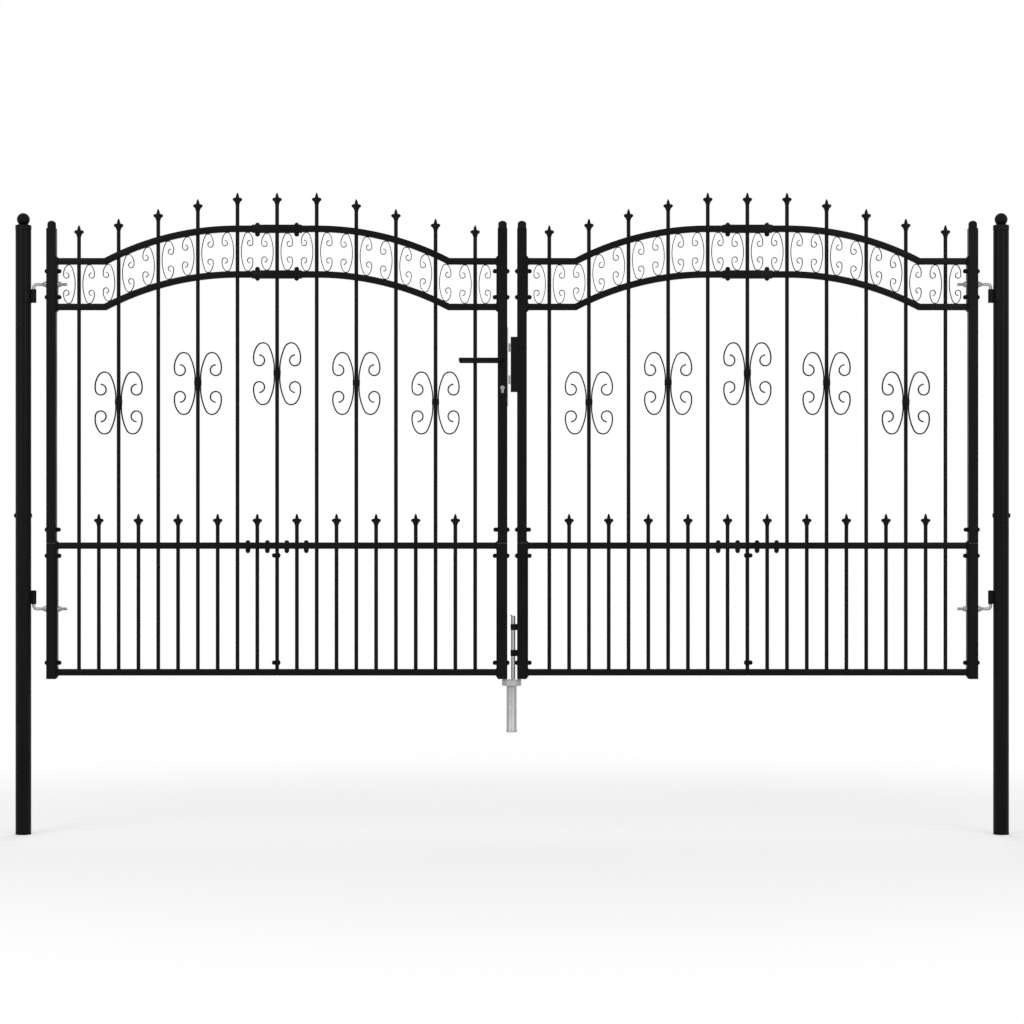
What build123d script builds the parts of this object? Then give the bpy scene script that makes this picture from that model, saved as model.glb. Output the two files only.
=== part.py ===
from build123d import *
import os
from math import asin, atan2, cos, degrees, pi, radians, sin, sqrt

# Double driveway gate: two arched leaves of square rails and round bars, hung on two round
# posts set in the ground. Millimetres, +Z up, +X from the left post to the right post, +Y
# away from the viewer. The origin is the middle of the left post's foot.

# Round pieces are made with a few flat sides: the widest, the middling and the thin ones
wide_sides = 20
round_sides = 12
thin_sides = 8

# Posts
post_spacing = 3016.0
post_od = 48.3
post_wall = 2.0
post_top = 1861.0
post_seam = 961.0
post_spigot_rise = 60.0
post_spigot_drop = 40.0
foot_lip = 3.0
foot_lip_overhang = 0.6
plug_length = 16.0
fit_gap = 0.3
ball_diameter = 40.0
ball_rise = 35.7
cap_collar_height = 19.5
cap_collar_overhang = 0.6
cap_collar_chamfer = 4.0
cap_neck_radius = 13.0
ball_zones = 5
cap_skirt_land = 2.0

# Leaf frame
hinge_stile_offset = 87.3
meeting_gap = 30.0
stile_size = 30.0
stile_wall = 1.5
stile_chamfer = 1.2
stile_foot = 482.5
stile_top = 1866.0
stile_seam = 898.0
stile_seam_gap = 0.4
dome_flange = 2.5
dome_diameter = 29.0
dome_straight = 10.5
dome_zones = 3
rail_size = 20.0
bottom_rail_z = 500.0
mid_rail_z = 890.6
lower_arch_z = 1626.7
band_pitch = 140.7
arch_rise = 100.3
arch_end_length = 165.5
arch_bends = 5
rail_split_gap = 0.4
sleeve_length = 154.0
sleeve_wall = 2.2
plate_thickness = 4.0
plate_chamfer = 3.0
upper_plate_above = 16.6
upper_plate_below = 22.7
lower_plate_above = 15.7

# Bars, with the shares of the arch rise by which the finial tips step down from the middle
bar_diameter = 12.0
bar_sides = 6
bar_count = 11
end_bar_gap = 84.35
bar_hole_gap = 0.3
tip_above_arch = 112.1
tip_above_mid_rail = 99.1
tip_steps = (0.0, 0.0, 0.2, 0.5, 0.8, 1.0)
finial_depth = 10.0
spear_height = 17.5
spear_half_width = 4.7
wing_half_width = 14.8
wing_drop = 20.5
wing_thickness = 6.0
wing_root_half_width = 9.5
finial_height = 38.0

# Scrolls of flat strip: places are measured from the bar and from the scroll's own middle
panel_strip_thickness = 4.0
band_strip_thickness = 2.2
strip_depth = 8.0
panel_scroll_bends = (1, 2, 2, 4)
band_scroll_bends = (1, 2, 1, 3)
seat_gap = 0.3
panel_scroll_crest_x = 43.5
panel_scroll_crest_z = 95.3
panel_scroll_crest_radius = 21.0
panel_scroll_side_x = 72.5
panel_scroll_side_z = 49.7
panel_scroll_curl_x = 55.2
panel_scroll_curl_radius = 16.5
panel_scroll_levels = (1420.9, 1390.7, 1330.6)
collar_height = 18.0
collar_rise = 3.0
collar_wall = 0.6
band_scroll_spine_x = 11.9
band_scroll_straight = 14.0
band_scroll_crest_x = 31.7
band_scroll_crest_radius = 10.0
band_scroll_side_x = 47.6
band_scroll_side_drop = 27.6
band_scroll_curl_x = 39.0
band_scroll_curl_radius = 8.2
band_scroll_fittings = 6

# Hinges: a hook rod through the stile, its pin in an eye on the post
hinge_rod_diameter = 10.0
hinge_pin_gap = 0.1
hinge_bend_radius = 10.0
hinge_rod_length = 102.7
hinge_rod_above_eye = 14.8
hinge_pin_end_gap = 2.0
eye_height = 42.0
eye_diameter = 16.0
eye_weld_depth = 3.0
saddle_thickness = 3.0
saddle_half_angle = 86.0
upper_hinge_rod_z = 1696.4
lower_hinge_rod_z = 695.7

# Lock in the left leaf's meeting stile
lever_z = 1462.0
lever_diameter = 12.0
lever_reach = 134.0
lever_standoff = 40.0
lever_bend_radius = 14.0
spindle_size = 8.0
rose_width = 24.0
rose_height = 46.0
rose_thickness = 7.0
rose_bore_gap = 0.3
cylinder_z = 1372.5
cylinder_diameter = 17.0
cylinder_leg_width = 10.0
cylinder_leg_drop = 20.0
cylinder_proud = 4.0
forend_height = 244.0
forend_centre_z = 1441.6
forend_depth = 20.0
forend_thickness = 3.0
case_height = 192.0
case_width = 26.0
case_depth = 18.0
bolt_depth = 12.0
bolt_height = 26.5
latch_z = 1501.5
deadbolt_z = 1402.3
bolt_length = 20.0
bolt_gap = 0.3
bolt_keep_gap = 0.9

# Keep box on the right leaf's meeting stile
keep_reach = 19.8
keep_height = 169.7
keep_centre_z = 1449.2
keep_wall = 2.0
keep_flange = 7.0
keep_slot_gap = 1.0

# Drop bolt and the socket that it falls into
drop_rod_diameter = 13.0
drop_rod_offset = 3.0
drop_rod_top = 674.0
drop_rod_lift = 2.0
drop_finger_diameter = 5.0
drop_finger_length = 14.0
guide_wall = 1.5
guide_gap = 0.3
guide_height = 19.0
guide_levels = (639.6, 559.4)
socket_offset = -2.0
socket_top = 477.5
socket_collar_diameter = 60.0
socket_collar_height = 20.0
socket_diameter = 31.0
socket_bore = 26.0
socket_depth = 162.0
socket_lip = 1.0
socket_lip_height = 7.0

# Places worked out from the sizes above
mid_x = post_spacing / 2
hinge_stile_x = hinge_stile_offset
meeting_stile_x = mid_x - meeting_gap / 2 - stile_size / 2
leaf_x = (hinge_stile_x + meeting_stile_x) / 2
half_span = (meeting_stile_x - hinge_stile_x) / 2
rail_end = half_span - stile_size / 2 - plate_thickness
bar_reach = half_span - end_bar_gap
bar_pitch = 2 * bar_reach / (bar_count - 1)
upper_arch_z = lower_arch_z + band_pitch
arch_flat_half = bar_pitch
arch_run = half_span - arch_end_length - arch_flat_half
arch_radius = (arch_run**2 + arch_rise**2) / (2 * arch_rise)
post_radius = post_od / 2
hinge_axis_x = post_radius + saddle_thickness + eye_diameter / 2 - eye_weld_depth
mirror_plane = Plane.YZ.offset(mid_x)


def block(x_range, y_range, z_range):
    """A box between two values on each axis."""
    size = [high - low for low, high in (x_range, y_range, z_range)]
    middle = [(high + low) / 2 for low, high in (x_range, y_range, z_range)]
    return Pos(*middle) * Box(*size)


def polygon(radius, sides, outside=False):
    """A polygon in place of a circle, inside it, or outside it where it is to clear it."""
    return RegularPolygon(radius, sides, major_radius=not outside)


def upright(radius, low, high, x=0.0, sides=round_sides, outside=False):
    """A round bar standing between two heights."""
    return Pos(x, 0, low) * extrude(polygon(radius, sides, outside), high - low)


def stacked(sections, sides=round_sides):
    """A turned shape: its radius and height at each change of its outline, from below."""
    outlines = [Pos(0, 0, z) * polygon(radius, sides) for radius, z in sections]
    return loft(outlines, ruled=True)


def flat_shape(points, depth):
    """A closed outline of x and z values made into a plate of the given depth about y = 0."""
    face = Plane.XZ * make_face(Polyline(*points, close=True))
    return extrude(face, depth / 2, both=True)


def mirrored(shapes):
    """The same shapes on the other side of the gate's middle."""
    return [mirror(shape, about=mirror_plane) for shape in shapes]


# Posts


def post_lower():
    """The buried length of a post, with the thinner spigot that carries the upper length."""
    bore = post_radius - post_wall
    spigot = bore - fit_gap
    low = post_seam - post_spigot_drop
    high = post_seam + post_spigot_rise
    tube = upright(post_radius, foot_lip, post_seam, sides=wide_sides)
    tube = tube + upright(spigot, post_seam, high, sides=wide_sides)
    tube = tube - upright(bore, foot_lip, low, sides=wide_sides)
    return tube - upright(spigot - post_wall, low, high, sides=wide_sides)


def post_upper():
    """The visible length of a post."""
    tube = upright(post_radius, post_seam, post_top, sides=wide_sides)
    return tube - upright(post_radius - post_wall, post_seam, post_top, sides=wide_sides)


def foot_cap():
    """The plug that closes a post's foot."""
    plug = post_radius - post_wall - fit_gap
    lip = upright(post_radius + foot_lip_overhang, 0, foot_lip, sides=wide_sides)
    return lip + upright(plug, foot_lip, foot_lip + plug_length, sides=wide_sides)


def ball_cap():
    """The post's cap: a plug, a collar with a sloped edge, and a ball on a short neck."""
    collar = post_radius + cap_collar_overhang
    collar_top = post_top + cap_collar_height
    ball_z = post_top + ball_rise
    ball = ball_diameter / 2
    plug = upright(post_radius - post_wall - fit_gap, post_top - plug_length, post_top, sides=wide_sides)
    skirt = (
        (post_radius, post_top),
        (post_radius, post_top + cap_skirt_land),
        (collar, post_top + cap_skirt_land + cap_collar_overhang),
        (collar, collar_top - cap_collar_chamfer),
        (collar - cap_collar_chamfer, collar_top),
    )
    neck_angle = asin(cap_neck_radius / ball)
    turns = [pi - neck_angle - (pi - neck_angle) * i / ball_zones for i in range(ball_zones + 1)]
    knob = [(cap_neck_radius, collar_top)]
    knob += [(max(ball * sin(t), 1.0), ball_z + ball * cos(t)) for t in turns]
    return plug + stacked(skirt, wide_sides) + stacked(knob, wide_sides)


def hinge_bracket(rod_z, way):
    """A saddle on the post with the eye that holds the hook's pin; way is where the rod is."""
    near = rod_z - way * hinge_rod_above_eye
    far = near - way * eye_height
    low, high = min(near, far), max(near, far)
    inner = post_radius + seat_gap / 2
    outer = post_radius + saddle_thickness
    keep_x = outer * cos(radians(saddle_half_angle))
    saddle = upright(outer, low, high, sides=wide_sides)
    saddle = saddle & block((keep_x, outer + 1), (-outer - 1, outer + 1), (low, high))
    eye = upright(eye_diameter / 2, low, high, hinge_axis_x)
    bore = upright(hinge_rod_diameter / 2 + hinge_pin_gap, low, high, hinge_axis_x, outside=True)
    return saddle + eye - upright(inner, low, high, sides=wide_sides, outside=True) - bore


def ground_socket():
    """The tube set in the ground at the gate's middle, with its collar."""
    x = mid_x + socket_offset
    bottom = socket_top - socket_depth
    radius = socket_diameter / 2
    body = upright(socket_collar_diameter / 2, socket_top - socket_collar_height, socket_top, x)
    body = body + upright(radius, bottom, socket_top, x)
    body = body + upright(radius + socket_lip, bottom, bottom + socket_lip_height, x)
    return body - upright(socket_bore / 2, bottom, socket_top, x, outside=True)


# Leaf: everything is made for the left leaf and mirrored for the right


def arch_kink(shift):
    """Where a shifted arc meets its straight end, from the leaf's middle."""
    drop = arch_rise - arch_radius - shift
    return arch_flat_half + sqrt((arch_radius + shift) ** 2 - drop**2)


def arch_bend_places(shift):
    """The ends of the flat lengths that the arc is made of, from the outermost inwards."""
    kink = arch_kink(shift)
    return [kink + (arch_flat_half - kink) * i / arch_bends for i in range(arch_bends + 1)]


def arc_height(shift, x):
    """Height of the shifted arc above the rail's end line, at x from the leaf's middle."""
    return arch_rise - arch_radius + sqrt((arch_radius + shift) ** 2 - (x - arch_flat_half) ** 2)


def arch_edge(shift, x):
    """Height of an arched rail's edge above its end line; shift is the edge's own place."""
    places = arch_bend_places(shift)
    if abs(x) >= places[0]:
        return shift
    for outer, inner in zip(places, places[1:]):
        if abs(x) >= inner:
            share = (abs(x) - inner) / (outer - inner)
            return arc_height(shift, outer) * share + arc_height(shift, inner) * (1 - share)
    return arch_rise + shift


def arch_half_outline(shift, inner_x, base_z):
    """Points of half an arched rail's one side: its outer end, the arc, its inner end."""
    places = [rail_end] + arch_bend_places(shift) + [inner_x]
    return [(-x, base_z + arch_edge(shift, x)) for x in places]


def arch_rail(base_z):
    """One arched rail: two mirrored halves that meet inside the sleeve."""
    half = rail_size / 2
    gap = rail_split_gap / 2
    top = arch_half_outline(half, gap, base_z)
    bottom = arch_half_outline(-half, gap, base_z)
    left = flat_shape(top + bottom[::-1], rail_size) - bar_holes(long_bar_places())
    return [Pos(leaf_x, 0, 0) * piece for piece in (left, mirror(left, about=Plane.YZ))]


def long_bar_places():
    """The long bars' places from the leaf's middle."""
    return [-bar_reach + i * bar_pitch for i in range(bar_count)]


def short_bar_places():
    """The short bars' places, midway between the long ones."""
    return [x + bar_pitch / 2 for x in long_bar_places()[:-1]]


def bar_holes(places):
    """The holes that bars pass through."""
    radius = bar_diameter / 2 + bar_hole_gap
    high = stile_top + arch_rise
    return [upright(radius, stile_foot, high, x, bar_sides) for x in places]


def straight_rail(z, places):
    """A straight square rail between the end plates, in two halves, with its bar holes."""
    half = rail_size / 2
    gap = rail_split_gap / 2
    left = block((-rail_end, -gap), (-half, half), (z - half, z + half))
    if places:
        left = left - bar_holes(places)
    return [Pos(leaf_x, 0, 0) * piece for piece in (left, mirror(left, about=Plane.YZ))]


def arch_sleeves():
    """The square sleeves that join each arched rail's halves."""
    inner = rail_size / 2 + seat_gap
    outer = inner + sleeve_wall
    reach = sleeve_length / 2
    pieces = []
    for base_z in (lower_arch_z, upper_arch_z):
        z = base_z + arch_rise
        tube = block((-reach, reach), (-outer, outer), (z - outer, z + outer))
        tube = tube - block((-reach, reach), (-inner, inner), (z - inner, z + inner))
        pieces.append(Pos(leaf_x, 0, 0) * (tube - bar_holes([0.0])))
    return pieces


def square_tube(x, low, high):
    """A length of a stile's square tube."""
    half = stile_size / 2
    bore = half - stile_wall
    tube = block((x - half, x + half), (-half, half), (low, high))
    tube = chamfer(tube.edges().filter_by(Axis.Z), stile_chamfer)
    return tube - block((x - bore, x + bore), (-bore, bore), (low, high))


def hinge_rod_holes(low_x, high_x):
    """The holes for both hook rods through what stands between two x values."""
    radius = hinge_rod_diameter / 2 + fit_gap
    hole = Rot(Y=90) * upright(radius, low_x, high_x, sides=thin_sides, outside=True)
    return [Pos(0, 0, z) * hole for z in (upper_hinge_rod_z, lower_hinge_rod_z)]


def stile(x):
    """A stile in its two lengths."""
    lower = square_tube(x, stile_foot, stile_seam)
    upper = square_tube(x, stile_seam + stile_seam_gap, stile_top)
    return [lower, upper]


def hinge_stile():
    """The stile that carries the hinge hooks."""
    half = stile_size / 2
    holes = hinge_rod_holes(hinge_stile_x - half, hinge_stile_x + half)
    return [length - holes for length in stile(hinge_stile_x)]


def dome_cap(x):
    """A stile's cap: a plug, a square flange, a short neck and a dome."""
    half = stile_size / 2
    radius = dome_diameter / 2
    plug = half - stile_wall - fit_gap
    body = block((-plug, plug), (-plug, plug), (stile_top - plug_length, stile_top))
    flange_top = stile_top + dome_flange
    flange = block((-half, half), (-half, half), (stile_top, flange_top))
    flange = chamfer(flange.edges().filter_by(Axis.Z), stile_chamfer)
    springing = flange_top + dome_straight
    turns = [pi / 2 * i / dome_zones for i in range(dome_zones + 1)]
    dome = [(radius, flange_top)]
    dome += [(max(radius * cos(t), 1.0), springing + radius * sin(t)) for t in turns]
    return Pos(x, 0, 0) * (body + flange + stacked(dome))


def end_plate(x, side, low, high):
    """The flat bar that the rails are welded to, bolted against a stile; side faces the leaf."""
    face = x + side * stile_size / 2
    outer = face + side * plate_thickness
    slope = side * plate_chamfer
    points = (
        (face, low),
        (outer - slope, low),
        (outer, low + plate_chamfer),
        (outer, high - plate_chamfer),
        (outer - slope, high),
        (face, high),
    )
    plate = flat_shape(points, stile_size)
    low_x, high_x = min(face, outer), max(face, outer)
    return plate - hinge_rod_holes(low_x, high_x) if side > 0 else plate


def upper_plate(x, side):
    """The end plate of the arched band."""
    low = lower_arch_z - upper_plate_below
    return end_plate(x, side, low, upper_arch_z + upper_plate_above)


def lower_plate(x, side):
    """The end plate of the lower panel."""
    return end_plate(x, side, stile_foot, mid_rail_z + lower_plate_above)


def finial(x, tip_z):
    """A flat cast finial: a spear point over two wings that narrow to the bar."""
    root = bar_diameter / 2
    right = (
        (spear_half_width, -spear_height),
        (wing_half_width, -wing_drop),
        (wing_root_half_width, -wing_drop - wing_thickness),
        (root, -finial_height),
    )
    points = [(x, tip_z)]
    points += [(x + u, tip_z + v) for u, v in right]
    points += [(x - u, tip_z + v) for u, v in reversed(right)]
    return flat_shape(points, finial_depth)


def finial_bar(x, tip_z):
    """A bar standing on the bottom rail with its finial welded on."""
    foot = bottom_rail_z + rail_size / 2
    bar = upright(bar_diameter / 2, foot, tip_z - finial_height, x, bar_sides)
    return Pos(leaf_x, 0, 0) * (bar + finial(x, tip_z))


def long_bars():
    """The bars that rise through the arch, the tips stepping down from the middle."""
    middle = (bar_count - 1) / 2
    top = upper_arch_z + arch_rise + tip_above_arch
    bars = []
    for index, x in enumerate(long_bar_places()):
        step = min(round(abs(index - middle)), len(tip_steps) - 1)
        bars.append(finial_bar(x, top - tip_steps[step] * arch_rise))
    return bars


def short_bars():
    """The bars of the lower panel that end above the middle rail."""
    return [finial_bar(x, mid_rail_z + tip_above_mid_rail) for x in short_bar_places()]


# Scrolls: each half is four arcs that turn the same way and meet without a corner


def scroll_arcs(spine, crest, crest_radius, side, curl_x, curl_radius):
    """Centre, radius, start and end angle of the arcs of a scroll's upper half."""
    spine_x, straight = spine
    crest_x, crest_z = crest
    side_x, side_z = side
    low_z = crest_z - crest_radius
    run = crest_x - spine_x
    rise = low_z - straight
    spine_radius = (run**2 + rise**2 - crest_radius**2) / (2 * (run - crest_radius))
    out = side_x - crest_x
    fall = side_z - low_z
    side_radius = (out**2 + fall**2 - crest_radius**2) / (2 * (out - crest_radius))
    spine_at = (spine_x + spine_radius, straight)
    crest_at = (crest_x, low_z)
    side_at = (side_x - side_radius, side_z)
    reach = sqrt((side_radius - curl_radius) ** 2 - (curl_x - side_at[0]) ** 2)
    curl_at = (curl_x, side_z - reach)
    first = bearing(spine_at, crest_at)
    second = bearing(side_at, crest_at)
    third = bearing(side_at, curl_at)
    return [
        (spine_at, spine_radius, 180.0, first),
        (crest_at, crest_radius, first, second),
        (side_at, side_radius, second, third),
        (curl_at, curl_radius, third, -270.0),
    ]


def bearing(start, end):
    """The direction from one point to another, in degrees."""
    return degrees(atan2(end[1] - start[1], end[0] - start[0]))


def arc_points(arcs, bends, offset):
    """Points along the arcs, moved outward by the offset; bends is each arc's flat lengths."""
    (first_x, first_z), first_radius = arcs[0][:2]
    points = [(first_x - first_radius - offset, first_z)]
    for ((x, z), radius, start, end), steps in zip(arcs, bends):
        for i in range(1, steps + 1):
            angle = radians(start + (end - start) * i / steps)
            points.append((x + (radius + offset) * cos(angle), z + (radius + offset) * sin(angle)))
    return points


def c_scroll(arcs, bends, thickness, x, z, hand):
    """A whole scroll of flat strip about height z; hand is -1 for one left of its bar."""
    half = thickness / 2
    outline = []
    for offset in (half, -half):
        upper = arc_points(arcs, bends, offset)
        lower = [(u, -v) for u, v in reversed(upper)]
        outline.append(lower + upper)
    points = outline[0] + outline[1][::-1]
    return flat_shape([(x + hand * u, z + v) for u, v in points], strip_depth)


def panel_scrolls():
    """The pairs of large scrolls on every second long bar, stepping up to the middle."""
    spine_x = bar_diameter / 2 + seat_gap + panel_strip_thickness / 2
    arcs = scroll_arcs(
        (spine_x, collar_height / 2 + collar_rise),
        (panel_scroll_crest_x, panel_scroll_crest_z),
        panel_scroll_crest_radius,
        (panel_scroll_side_x, panel_scroll_side_z),
        panel_scroll_curl_x,
        panel_scroll_curl_radius,
    )
    scrolls = []
    for x, z in panel_scroll_places():
        for hand in (-1, 1):
            scroll = c_scroll(arcs, panel_scroll_bends, panel_strip_thickness, x, z, hand)
            scrolls.append(Pos(leaf_x, 0, 0) * scroll)
    return scrolls


def panel_scroll_places():
    """Bar and height of each pair of large scrolls."""
    middle = (bar_count - 1) // 2
    places = []
    for index, x in enumerate(long_bar_places()):
        if index % 2 == 1:
            level = min(abs(index - middle) // 2, len(panel_scroll_levels) - 1)
            places.append((x, panel_scroll_levels[level]))
    return places


def collars():
    """The collar that ties each pair of large scrolls to its bar."""
    half_x = bar_diameter / 2 + seat_gap + panel_strip_thickness + seat_gap / 2
    half_y = bar_diameter / 2 + seat_gap / 2
    wall_x = half_x + collar_wall
    wall_y = half_y + collar_wall
    pieces = []
    for x, z in panel_scroll_places():
        low = z + collar_rise - collar_height / 2
        high = low + collar_height
        ring = block((x - wall_x, x + wall_x), (-wall_y, wall_y), (low, high))
        ring = ring - block((x - half_x, x + half_x), (-half_y, half_y), (low, high))
        pieces.append(Pos(leaf_x, 0, 0) * ring)
    return pieces


def band_edge(side, x):
    """Height of the band's edge at x: the upper rail's underside, or with -1 the lower one's top."""
    half = rail_size / 2
    if abs(x) < sleeve_length / 2:
        half = half + seat_gap + sleeve_wall
    base_z = upper_arch_z if side > 0 else lower_arch_z
    return base_z + arch_edge(-side * half, x)


def band_scroll(bar_x, hand):
    """One small scroll, stretched until it seats on both arched rails beside its bar."""
    crest_z = (band_pitch - rail_size) / 2
    for _ in range(band_scroll_fittings):
        arcs = scroll_arcs(
            (band_scroll_spine_x, band_scroll_straight),
            (band_scroll_crest_x, crest_z),
            band_scroll_crest_radius,
            (band_scroll_side_x, crest_z - band_scroll_side_drop),
            band_scroll_curl_x,
            band_scroll_curl_radius,
        )
        outline = arc_points(arcs, band_scroll_bends, band_strip_thickness / 2)
        high = min(band_edge(1, bar_x + hand * u) - v for u, v in outline) - seat_gap
        low = max(band_edge(-1, bar_x + hand * u) + v for u, v in outline) + seat_gap
        crest_z = crest_z + (high - low) / 2
    scroll = c_scroll(
        arcs, band_scroll_bends, band_strip_thickness, bar_x, (low + high) / 2, hand
    )
    return Pos(leaf_x, 0, 0) * scroll


def band_scrolls():
    """The small scrolls on both sides of every long bar."""
    return [band_scroll(x, hand) for x in long_bar_places() for hand in (-1, 1)]


def hinge_hook(rod_z, way):
    """A hook: the round pin in the post's eye, bent over into the rod through the stile."""
    radius = hinge_rod_diameter / 2
    tip_z = rod_z - way * (hinge_rod_above_eye + eye_height - hinge_pin_end_gap)
    neck_z = rod_z - way * hinge_bend_radius
    pin = upright(radius, min(tip_z, neck_z), max(tip_z, neck_z), hinge_axis_x)
    path = bent_path(neck_z, rod_z, hinge_bend_radius, hinge_axis_x, hinge_axis_x + hinge_rod_length)
    section = Plane((hinge_axis_x, 0, neck_z), z_dir=(0, 0, way))
    section = section * polygon(radius, thin_sides)
    return pin + sweep(section, path=path, transition=Transition.RIGHT)


def bent_path(low_z, high_z, bend, low_x, high_x):
    """A line that rises or falls, turns a rounded corner in flat lengths, and runs level."""
    way = 1 if high_z > low_z else -1
    corner_z = high_z - way * bend
    points = [(low_x, 0, low_z)]
    if corner_z != low_z:
        points.append((low_x, 0, corner_z))
    for angle in (30, 60):
        run = bend * (1 - cos(radians(angle)))
        fall = bend * (1 - sin(radians(angle)))
        points.append((low_x + run, 0, high_z - way * fall))
    return Polyline(*points, (low_x + bend, 0, high_z), (high_x, 0, high_z))


# Lock


def bolt_hole(low_x, high_x, z):
    """The slot that a bolt slides in."""
    half_y = bolt_depth / 2 + bolt_gap
    half_z = bolt_height / 2 + bolt_gap
    return block((low_x, high_x), (-half_y, half_y), (z - half_z, z + half_z))


def lock_body():
    """The lock's case inside the stile with the long front plate that faces the other leaf."""
    face = meeting_stile_x + stile_size / 2
    half_y = forend_depth / 2
    low = forend_centre_z - forend_height / 2
    front = block((face, face + forend_thickness), (-half_y, half_y), (low, low + forend_height))
    case_half = case_depth / 2
    case_low = forend_centre_z - case_height / 2
    case = block((face - case_width, face), (-case_half, case_half), (case_low, case_low + case_height))
    body = front + case
    for z in (latch_z, deadbolt_z):
        body = body - bolt_hole(face - case_width + stile_wall, face + forend_thickness, z)
    return body - spindle_hole(case_depth) - cylinder_shape(fit_gap, case_depth)


def spindle_hole(length):
    """The hole that the lever's square spindle turns in."""
    radius = spindle_size / sqrt(2) + fit_gap
    hole = Rot(X=90) * upright(radius, -length / 2, length / 2, sides=thin_sides, outside=True)
    return Pos(meeting_stile_x, 0, lever_z) * hole


def lock_stile():
    """The left leaf's meeting stile, cut for the lock."""
    face = meeting_stile_x + stile_size / 2
    gap = case_depth / 2 + fit_gap
    low = forend_centre_z - case_height / 2 - fit_gap
    mortice = block((face - case_width - fit_gap, face), (-gap, gap), (low, low + case_height + 2 * fit_gap))
    lower, upper = stile(meeting_stile_x)
    return [lower, upper - mortice - spindle_hole(stile_size) - cylinder_shape(fit_gap, stile_size)]


def cylinder_shape(gap, length):
    """The outline of the key cylinder, round above and narrow below, grown by a gap."""
    barrel = Rot(X=90) * upright(cylinder_diameter / 2 + gap, -length / 2, length / 2)
    barrel = Pos(meeting_stile_x, 0, cylinder_z) * barrel
    half = cylinder_leg_width / 2 + gap
    leg = block(
        (meeting_stile_x - half, meeting_stile_x + half),
        (-length / 2, length / 2),
        (cylinder_z - cylinder_leg_drop - gap, cylinder_z),
    )
    return barrel + leg


def key_cylinder():
    """The key cylinder, standing a little proud of both faces of the stile."""
    return [cylinder_shape(0.0, stile_size + 2 * cylinder_proud)]


def roses():
    """The rounded plates behind the lever, one on each face of the stile."""
    end = polygon(rose_width / 2, round_sides)
    drop = (rose_height - rose_width) / 2
    outline = Rectangle(rose_width, 2 * drop) + Pos(0, drop) * end + Pos(0, -drop) * end
    bore = polygon(lever_diameter / 2 + rose_bore_gap, round_sides, outside=True)
    plate = Rot(X=90) * extrude(outline - bore, rose_thickness)
    pieces = []
    for y in (-stile_size / 2, stile_size / 2 + rose_thickness):
        pieces.append(Pos(meeting_stile_x, y, lever_z) * plate)
    return pieces


def lever():
    """Both lever handles on one square spindle."""
    near = stile_size / 2 + fit_gap
    far = stile_size / 2 + lever_standoff
    path = Rot(X=90) * bent_path(near, far, lever_bend_radius, 0.0, lever_reach)
    section = Plane((0, -near, 0), z_dir=(0, -1, 0))
    section = section * polygon(lever_diameter / 2, round_sides)
    handle = sweep(section, path=path, transition=Transition.RIGHT)
    handle = mirror(handle, about=Plane.YZ)
    half = spindle_size / 2
    spindle = block((-half, half), (-near, near), (-half, half))
    both = handle + mirror(handle, about=Plane.XZ) + spindle
    return [Pos(meeting_stile_x, 0, lever_z) * both]


def bolt(z, sloped):
    """A bolt that shows between the leaves; the latch has a sloped nose."""
    keep_face = mid_x + meeting_gap / 2 - keep_reach
    tip = keep_face - bolt_keep_gap
    half_y = bolt_depth / 2
    half_z = bolt_height / 2
    piece = block((tip - bolt_length, tip), (-half_y, half_y), (z - half_z, z + half_z))
    if sloped:
        nose = [edge for edge in piece.edges().filter_by(Axis.Z) if edge.center().X > tip - 1]
        piece = chamfer([min(nose, key=lambda edge: edge.center().Y)], bolt_depth / 2)
    return [piece]


def keep_box():
    """The box on the right leaf that the bolts enter, with its flange round the stile's front."""
    stile_face = mid_x + meeting_gap / 2
    low_x = stile_face - keep_reach
    front = -stile_size / 2 - keep_wall
    back = stile_size / 2
    low = keep_centre_z - keep_height / 2
    high = low + keep_height
    shell = block((low_x, stile_face), (front, back), (low, high))
    hollow = block(
        (low_x + keep_wall, stile_face),
        (front + keep_wall, back - keep_wall),
        (low + keep_wall, high - keep_wall),
    )
    flange = block((stile_face, stile_face + keep_flange), (front, -stile_size / 2), (low, high))
    box = shell - hollow + flange
    for z in (latch_z, deadbolt_z):
        half_y = bolt_depth / 2 + keep_slot_gap
        half_z = bolt_height / 2 + keep_slot_gap
        box = box - block((low_x, low_x + keep_wall), (-half_y, half_y), (z - half_z, z + half_z))
    return [box]


# Drop bolt on the right leaf


def drop_bolt():
    """The round bolt with the small finger piece at its top."""
    x = mid_x + drop_rod_offset
    rod = upright(drop_rod_diameter / 2, socket_top + drop_rod_lift, drop_rod_top, x)
    finger = upright(drop_finger_diameter / 2, 0, drop_finger_length, sides=thin_sides)
    return [rod + Pos(x, 0, drop_rod_top - drop_finger_diameter) * Rot(X=-60, Z=35) * finger]


def bolt_guides():
    """The eyes on the stile that the drop bolt slides in."""
    x = mid_x + drop_rod_offset
    bore = drop_rod_diameter / 2 + guide_gap
    outer = bore + guide_wall
    stile_face = mid_x + meeting_gap / 2
    pieces = []
    for z in guide_levels:
        low, high = z - guide_height / 2, z + guide_height / 2
        tab = block((x, stile_face), (-outer, outer), (low, high))
        eye = upright(outer, low, high, x) + tab
        pieces.append(eye - upright(bore, low, high, x, outside=True))
    return pieces


def both_sides(*shapes):
    """The shapes and their mirror images."""
    return list(shapes) + mirrored(shapes)


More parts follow.
